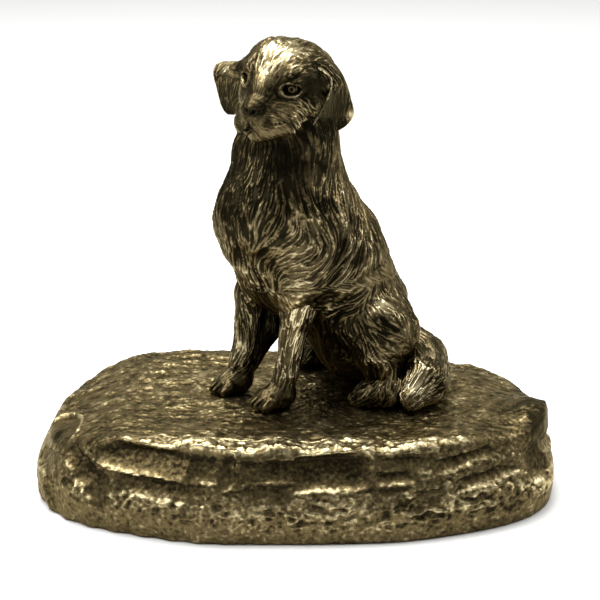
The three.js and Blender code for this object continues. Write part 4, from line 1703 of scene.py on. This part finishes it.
@dataclass
class Rock:
    """The oval rock: a hollow shell with a chipped face, and a crown over its top."""

    low: float = 0.4
    bed: float = 1.85
    step: float = 2.6
    pocket_ceiling: float = 14.0
    wall: float = 5.5
    crown_inset: float = 11.0
    profile: tuple[tuple[float, float], ...] = (
        (0.0, 0.0),
        (-0.7, 0.12),
        (-1.0, 0.3),
        (-0.4, 0.48),
        (1.0, 0.62),
        (2.4, 0.78),
        (3.7, 0.9),
        (4.8, 0.97),
        (6.2, 1.0),
        (11.5, 1.0),
    )
    coves: tuple[Cove, ...] = (
        Cove(-45.0, 23.0, 15.0, 4.6, 4.2, -0.1),
        Cove(-38.0, 14.8, 13.0, 2.7, 1.8, -0.05),
        Cove(-27.0, 21.5, 7.5, 4.4, 2.0, 0.18),
        Cove(-18.7, 21.0, 2.4, 4.4, 1.6),
        Cove(-6.4, 20.6, 9.0, 3.2, 1.9),
        Cove(-7.3, 14.6, 7.5, 2.8, 0.9),
        Cove(9.8, 20.6, 11.5, 4.8, 3.0, 0.06),
        Cove(14.0, 23.6, 5.0, 2.2, 1.6),
        Cove(31.3, 22.8, 9.5, 2.6, 1.5, -0.05),
        Cove(28.5, 18.9, 6.2, 1.7, 1.9),
        Cove(26.0, 13.6, 5.0, 2.2, 0.8),
        Cove(50.0, 21.8, 10.5, 1.9, 2.0, 0.16),
        Cove(56.0, 15.8, 10.0, 1.7, 1.6, 0.12),
        Cove(37.0, 12.4, 5.0, 1.9, 0.9),
        Cove(-61.0, 14.2, 7.0, 4.6, 2.0, -0.5),
        Cove(-68.0, 18.5, 5.0, 3.0, 1.2, -0.3),
        Cove(76.0, 15.5, 5.5, 5.2, 1.6),
    )
    random_coves: int = 46
    facets: tuple[tuple[Point, Point, float], ...] = (
        ((-68.4, -28.5, 9.0), (-0.8, -0.6, 0.05), 8.0),
        ((69.0, -27.0, 22.5), (0.45, -0.85, 0.22), 7.0),
    )

    def __post_init__(self) -> None:
        """Measures the outline and scatters chips over the sides and back."""
        self.outline = Outline(78.5 * 0.985, 48.5 * 0.985)
        draw = np.random.default_rng(11)
        around = self.outline.length[-1]
        scattered = []
        for n in range(self.random_coves):
            at = 84 + (around - 84 - 80) * (n + draw.uniform(0, 1)) / self.random_coves
            size = draw.uniform(4, 11)
            height, half_height = draw.uniform(11, 23), size * draw.uniform(0.25, 0.42)
            scattered.append(Cove(at, height, size, half_height, size * 0.17, draw.uniform(-0.2, 0.2)))
        shifted = [c if c.middle >= 0 else replace(c, middle=c.middle + around) for c in self.coves]
        self.all_coves = [*shifted, *scattered]

    def top(self, x: Array, y: Array) -> Array:
        """Height of the smooth top: level, falling at both ends and along the back."""
        back = 3 * ease(36, 47, y) * (1 - 0.6 * bell(x + 40, 25)) + 2.8 * bell(np.hypot(x - 53, y - 33), 15)
        fall = 6.8 * ease(48, 78, -x) + 5 * ease(54, 77, x) + back
        return SEAT_HEIGHT - fall

    def lumps(self, x: Array, y: Array) -> tuple[Array, Array]:
        """Relief of the top: slow swells, flow ridges, a rough front lip, hammering and a boulder.

        Args:
            x: places along the rock.
            y: places across it.

        Returns:
            Heights over the smooth top, and the change of tone.
        """
        at = np.stack([x, y, np.zeros_like(x)], -1)
        swells = 0.55 * GRAIN(at + 4, 13.0)
        bent = at + 2.2 * np.stack([GRAIN(at + 40, 7.0), GRAIN(at + 80, 7.0), 0 * x], -1)
        ridge = 1 - np.abs(GRAIN(bent * np.array([0.55, 1.0, 1.0]) + 11, 4.2)) * 2.6
        flow = 0.42 * np.clip(ridge, -0.2, 1) * ease(-0.1, 0.5, GRAIN(at + 200, 16.0) + 0.25)
        hammer = 0.2 * GRAIN(bent * np.array([0.7, 1, 1]), 1.6) + 0.16 * GRAIN(at + 5, 0.8)
        lip = ease(-30, -41, y) * ease(72, 60, np.abs(x))
        wander = 1.6 * GRAIN(at * np.array([1.0, 0.25, 1.0]) + 500, 8.0) * ease(-26, -40, y)
        rough = lip * (0.7 * np.abs(GRAIN(at + 300, 3.0)) + 0.6 * np.abs(GRAIN(at + 320, 1.3)))
        boulder = 6.0 * bell(np.hypot(x - 72.0, (y + 12.0) * 0.62), 8.6)
        knoll = 1.2 * bell(np.hypot(x - 52.0, y - 18.0), 9.0) + 0.9 * bell(np.hypot(x + 40.0, y - 22.0), 12.0)
        seat = ease(34, 22, np.hypot(x - SEAT[0] + 8, y - SEAT[1] + 2))
        disc, rim, pit = self.disc(x, y)
        grain = (hammer + rough) * (1 - 0.75 * disc) + 0.4 * rim - 0.5 * disc - 1.0 * pit
        shape = (swells + flow + knoll) * (1 - 0.7 * seat) * (1 - 0.8 * disc) + boulder + wander
        return shape + grain, 1.1 * grain - 0.06 * lip + 0.4 * (flow - 0.1) - 0.06 * boulder + 0.5 * disc

    @staticmethod
    def disc(x: Array, y: Array) -> tuple[Array, Array, Array]:
        """The smooth oval chip at the left end: its inside, its edge and the pit in its middle."""
        away = np.hypot((x + 70.0) / 6.8, (y + 16.0) / 12.0)
        pit = bell(np.hypot((x + 70) / 1.6, (y + 17) / 2.2), 0.8)
        return ease(1.0, 0.93, away), bell(away - 1.04, 0.06), pit

    def surface(self, along: Array, inset: Array, share: Array) -> tuple[Array, Array]:
        """The chipped surface at places along the outline, inwards from it and up.

        Args:
            along: millimetres along the outline.
            inset: millimetres inwards.
            share: how far up the face, from 0 to 1.

        Returns:
            Points and their tone.
        """
        edge, out = self.outline.walk(along)
        beside_boulder = bell(np.hypot(edge[..., 0] - 76, 0.7 * (edge[..., 1] + 12)), 12.0)
        bulge = 0.6 * beside_boulder * ease(11.0, 6.0, inset)
        flat = edge - out * (inset * (1 - bulge))[..., None]
        x, y = flat[..., 0], flat[..., 1]
        over = ease(0.86, 1.0, share)
        height = self.low + share * (self.top(x, y) - self.low)
        at = np.stack([x, y, height], -1)
        bite = np.zeros_like(height)
        warp = 1.4 * GRAIN(at + 60, 5.0) + 0.5 * GRAIN(at + 90, 1.8)
        for cove in self.all_coves:
            bite = np.maximum(bite, cove.bite(along + warp * 0.8, height + warp * 0.5))
        face = 1 - over
        bare = 0.16 * ease(-10, -50, x)
        rough = ease(0.05 + bare, 0.3 + bare, share) * (0.35 + 0.65 * ease(0.75, 0.35, share))
        squiggle = at + 1.2 * np.stack([GRAIN(at + 140, 2.6), GRAIN(at + 150, 2.6), GRAIN(at + 160, 2.6)], -1)
        pebble = 0.3 * (1 - 3.0 * np.abs(GRAIN(squiggle * np.array([0.6, 0.6, 1.1]) + 7, 1.5)))
        grit = 0.16 * GRAIN(at, 0.85)
        layers = 0.4 * GRAIN(squiggle * np.array([0.12, 0.12, 1.0]) + 33, 1.2) * ease(-5, 20, x)
        flute = 0.35 * np.cos(along * 2 * np.pi / 8.5) * ease(-5, -35, x) * ease(0.3, 0.12, share)
        carved = 1 - 0.85 * np.clip(bite / 0.9, 0, 1)
        grained = rough * (pebble + layers) * carved + grit * (0.4 + 0.6 * carved)
        outwards = (grained + flute - bite) * face
        raised, wear = (part * over for part in self.lumps(x, y))
        point = np.concatenate([flat + out * outwards[..., None], (height + raised)[..., None]], -1)
        # Painted shade: darker deep in the coves and over the upper band of the face.
        shade = 0.13 * np.minimum(bite, 2.0) + 0.14 * ease(0.42, 0.6, share)
        tone = 0.45 + wear + (0.75 * grained - shade) * face
        return self.cut(point), tone

    def cut(self, point: Array) -> Array:
        """The surface with its planed facets: a disc at the left end, a hollow in the boulder.

        Args:
            point: places on the surface.

        Returns:
            The places, moved behind each plane.
        """
        for centre, facing, reach in self.facets:
            normal = np.array(facing) / np.linalg.norm(facing)
            away = point - np.array(centre)
            proud = np.clip(away @ normal, 0, 4.0) * ease(reach, reach * 0.9, np.linalg.norm(away, axis=-1))
            point = point - proud[..., None] * normal
        return point

    def shell(self) -> tuple[Skin, Array]:
        """The hollow shell: pocket, rim, face and lip, as one closed grid.

        Returns:
            The skin and its tone.
        """
        sides = grid_steps(1030)
        along = np.linspace(0, self.outline.length[-1], sides, endpoint=False)[None]
        inset, share = (np.array(c) for c in zip(*self.profile))
        run = np.concatenate([[0], np.cumsum(np.hypot(np.diff(inset), np.diff(share) * 25))])
        steps = np.linspace(0, run[-1], grid_steps(88))[:, None]
        rim_inset = np.interp(steps, run, inset)
        rim_share = np.interp(steps, run, share)
        points, tone = self.surface(along + 0 * steps, rim_inset + 0 * along, rim_share + 0 * along)
        # Painted light from above on the face: ledges facing up are painted brighter and undercuts are
        # painted darker.
        lean = Skin(points, points[0].mean(0), points[-1].mean(0)).normals()[..., 2]
        painted_top_light_mask = ease(0.93, 0.85, rim_share)
        tone = tone + painted_top_light_mask * (0.55 * np.clip(lean, -0.7, 0.9) - 0.04) * ease(0.1, 0.5, rim_share)
        tone = np.clip(tone, 0, 1)
        dive = ease(10.8, 11.5, rim_inset) * 0.5
        points[..., 2] -= dive
        edge, out = self.outline.walk(along)
        pocket = []
        roof = ((self.wall + 9, self.pocket_ceiling), (self.wall + 2, 12.0), (self.wall, 9.0))
        rim = ((self.wall, self.bed), (self.step, self.bed), (self.step - 0.2, self.low))
        for inside, height in (*roof, *rim):
            flat = edge - out * inside
            pocket.append(np.concatenate([flat, np.full((1, sides, 1), height)], -1))
        under = []
        for depth in (0.6, 2.4):
            flat = points[-1:, :, :2] * (1 - depth * 0.004)
            under.append(np.concatenate([flat, points[-1:, :, 2:] - depth], -1))
        rings = np.concatenate([*pocket, points, *under], 0)
        tones = np.concatenate([np.full((6, sides), 0.3), tone, np.full((2, sides), 0.3)], 0)
        middle = np.array([0.0, 0.0, self.pocket_ceiling])
        return Skin(rings, middle, np.array([0.0, 0.0, 22.0])), tones

    def crown(self) -> tuple[Skin, Array]:
        """The cap over the shell's lip, as one closed grid.

        Returns:
            The skin and its tone.
        """
        sides, steps = grid_steps(600), grid_steps(150)
        along = np.linspace(0, self.outline.length[-1], sides, endpoint=False)
        edge, out = self.outline.walk(along)
        rim = edge - out * (self.crown_inset - 0.5)
        share = np.linspace(1, 0.01, steps)[:, None, None]
        flat = share * rim[None]
        x, y = flat[..., 0], flat[..., 1]
        raised, wear = self.lumps(x, y)
        height = self.top(x, y) + raised
        inside = (1 - share[..., 0]) * np.linalg.norm(rim, axis=-1)
        height -= ease(0.7, 0.0, inside) * 0.35
        tone = np.clip(0.45 + wear, 0, 1)
        points = self.cut(np.stack([x, y, height], -1))
        skirt = points[:1] - np.array([0, 0, 1.5])
        rings = np.concatenate([skirt, points], 0)
        tones = np.concatenate([tone[:1], tone], 0)
        top = np.array([0.0, 0.0, float(self.top(0.0, 0.0) + self.lumps(np.zeros(1), np.zeros(1))[0][0])])
        return Skin(rings, np.array([0.0, 0.0, 20.0]), top), tones

    def build(self, shell_bronze: bpy.types.Material) -> None:
        """Builds both pieces and dresses them.

        Args:
            shell_bronze: the rock's finish.
        """
        for name, (skin, tone) in (("rock_shell", self.shell()), ("rock_crown", self.crown())):
            place(mesh_from_skin(name, skin, tone), "rock_bronze", shell_bronze, "rock_base")


@dataclass
class FeltPad:
    """The baize pad glued under the rock."""

    thickness: float = 1.5
    inset: float = 2.5
    fuzz: float = 0.12
    section: tuple[tuple[float, float], ...] = (
        (30.0, 0.0),
        (8.0, 0.0),
        (0.5, 0.0),
        (0.1, 0.3),
        (0.0, 0.75),
        (0.1, 1.2),
        (0.5, 1.5),
        (8.0, 1.5),
        (30.0, 1.5),
    )

    def build(self, baize: bpy.types.Material) -> None:
        """Builds the pad with soft edges and dresses it.

        Args:
            baize: the finish.
        """
        low, high = box_mm("felt_pad")
        outline = Outline((high[0] - low[0]) / 2 + self.inset, (high[1] - low[1]) / 2 + self.inset)
        along = np.linspace(0, outline.length[-1], 720, endpoint=False)
        edge, out = outline.walk(along)
        rings = []
        for inside, height in self.section:
            noise = GRAIN(np.stack([edge[:, 0], edge[:, 1], 0 * along + height], -1), 1.1) * (inside < 1)
            flat = edge - out * (inside + self.inset + self.fuzz * noise + self.fuzz)[:, None]
            rings.append(np.concatenate([flat, np.full((len(along), 1), height)], -1))
        skin = Skin(np.stack(rings), np.array([0.0, 0.0, 0.0]), np.array([0.0, 0.0, self.thickness]))
        pad = mesh_from_skin("felt_pad_baize", skin, np.full((len(rings), len(along)), 0.5))
        place(pad, "felt", baize, "felt_pad")
        rim = rings[len(rings) // 2][:, :2] * MM
        size = np.ptp(rim, axis=0)
        flat = (float(size[0]), float(size[1]))


class Fixings:
    """The hidden stud, washer, nut and pins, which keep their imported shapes."""

    NODES = ("seat_stud", "seat_washer", "seat_nut", "forepaw_pin_left", "forepaw_pin_right", "neck_pin")

    def build(self, steel: bpy.types.Material) -> None:
        """Dresses the fixings in steel.

        Args:
            steel: the finish.
        """
        for name in self.NODES:
            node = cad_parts[name]
            node.data.materials.clear()
            node.data.materials.append(steel)


# ------------------------------------------------------------------------------ the studio
@dataclass
class Studio:
    """A pale floor, soft lights, a quiet room and the camera."""

    camera_at: Point = (1.4, -460.0, 205.0)
    look_at: Point = (1.4, 0.0, 56.9)
    lens: float = 97.5

    def floor(self) -> None:
        """The pale floor, far larger than the view."""
        mesh = bpy.data.meshes.new("floor")
        corners = [(-4, -4, 0), (4, -4, 0), (4, 6, 0), (-4, 6, 0)]
        mesh.from_pydata(corners, [], [(0, 1, 2, 3)])
        floor = bpy.data.objects.new("floor", mesh)
        bpy.context.scene.collection.objects.link(floor)
        material = bpy.data.materials.new("pale_paper")
        material.use_nodes = True
        shader = material.node_tree.nodes["Principled BSDF"]
        shader.inputs["Base Color"].default_value = (0.93, 0.93, 0.925, 1)
        shader.inputs["Roughness"].default_value = 0.9
        mesh.materials.append(material)

    def room(self) -> None:
        """A room that is bright overhead and behind, and dim in front at eye level."""
        world = bpy.data.worlds.new("studio_room")
        world.use_nodes = True
        make = NodeMaker(world.node_tree)
        way = make.add("ShaderNodeTexCoord").outputs["Generated"]
        split = make.add("ShaderNodeSeparateXYZ", {"Vector": way})
        white, dim = (1.0, 1.0, 1.0), (0.06, 0.06, 0.06)
        height = make.ramp(
            make.math("MULTIPLY", make.math("ADD", split.outputs["Z"], 1.0), 0.5),
            [(0.0, white), (0.5, dim), (0.7, dim), (0.86, (0.9, 0.9, 0.88)), (1.0, (1.3, 1.3, 1.28))],
        )
        colour = make.mix(make.step(split.outputs["Y"], -0.1, 0.9), height, (0.95, 0.95, 0.93, 1))
        make.feed(world.node_tree.nodes["Background"], {"Color": colour, "Strength": 0.75})
        bpy.context.scene.world = world

    def softbox(self, name: str, at: Point, aim: Point, size: float, power: float) -> None:
        """One square area light.

        Args:
            name: its name.
            at: where it hangs, in metres.
            aim: what it points at.
            size: its side.
            power: its power.
        """
        light = bpy.data.lights.new(name, "AREA")
        light.shape = "SQUARE"
        light.size = size
        light.energy = power
        holder = bpy.data.objects.new(name, light)
        holder.location = at
        holder.rotation_mode = "QUATERNION"
        holder.rotation_quaternion = (Vector(aim) - Vector(at)).to_track_quat("-Z", "Y")
        bpy.context.scene.collection.objects.link(holder)

    def camera(self) -> None:
        """The camera, a long lens from slightly above."""
        data = bpy.data.cameras.new("camera")
        data.lens = self.lens
        data.sensor_width = 36.0
        camera = bpy.data.objects.new("camera", data)
        at, aim = Vector(self.camera_at) * MM, Vector(self.look_at) * MM
        camera.location = at
        camera.rotation_mode = "QUATERNION"
        camera.rotation_quaternion = (aim - at).to_track_quat("-Z", "Y")
        bpy.context.scene.collection.objects.link(camera)
        bpy.context.scene.camera = camera

    def build(self) -> None:
        """Sets up the whole studio."""
        self.floor()
        self.room()
        self.softbox("top_softbox", (-0.15, 0.15, 0.9), (0, 0, 0.05), 0.7, 11.0)
        self.softbox("left_softbox", (-0.9, -0.25, 0.75), (0, 0, 0.06), 0.4, 5.0)
        self.softbox("right_softbox", (0.95, 0.1, 0.6), (0, 0, 0.06), 0.4, 4.0)
        self.camera()
        bpy.context.scene.view_settings.view_transform = "Standard"


def main() -> None:
    """Builds the figurine, its base and the studio."""
    logging.basicConfig(level=logging.INFO, format="%(message)s")
    effects = Effects()
    bronze = BronzeFinish(
        "antique_bronze",
        recess=(0.012, 0.01, 0.005),
        body=(0.145, 0.11, 0.052),
        crest=(0.62, 0.53, 0.32),
        rough_recess=0.4,
        rough_crest=0.26,
        bump=0.25,
    ).material(effects)
    rock_bronze = BronzeFinish(
        "rock_bronze",
        recess=(0.018, 0.014, 0.007),
        body=(0.125, 0.094, 0.042),
        crest=(0.6, 0.5, 0.28),
        rough_recess=0.46,
        rough_crest=0.34,
        bump=1.0,
        sand=900.0,
        ripple=300.0,
        speck=0.8,
    ).material(effects)
    steel = SteelFinish().material()
    baize = FeltFinish().material()
    coat = dog_coat()
    Torso().build(coat, bronze)
    Head().build(coat, bronze)
    for ear in (left_ear(), right_ear()):
        ear.build(coat, bronze)
    for leg in (left_foreleg(), right_foreleg()):
        leg.build(coat, bronze)
    for paw in (left_hind_paw(), right_hind_paw()):
        paw.build(coat, bronze)
    Tail().build(coat, bronze)
    Rock().build(rock_bronze)
    FeltPad().build(baize)
    Fixings().build(steel)
    Studio().build()


if __name__ == "__main__":
    main()
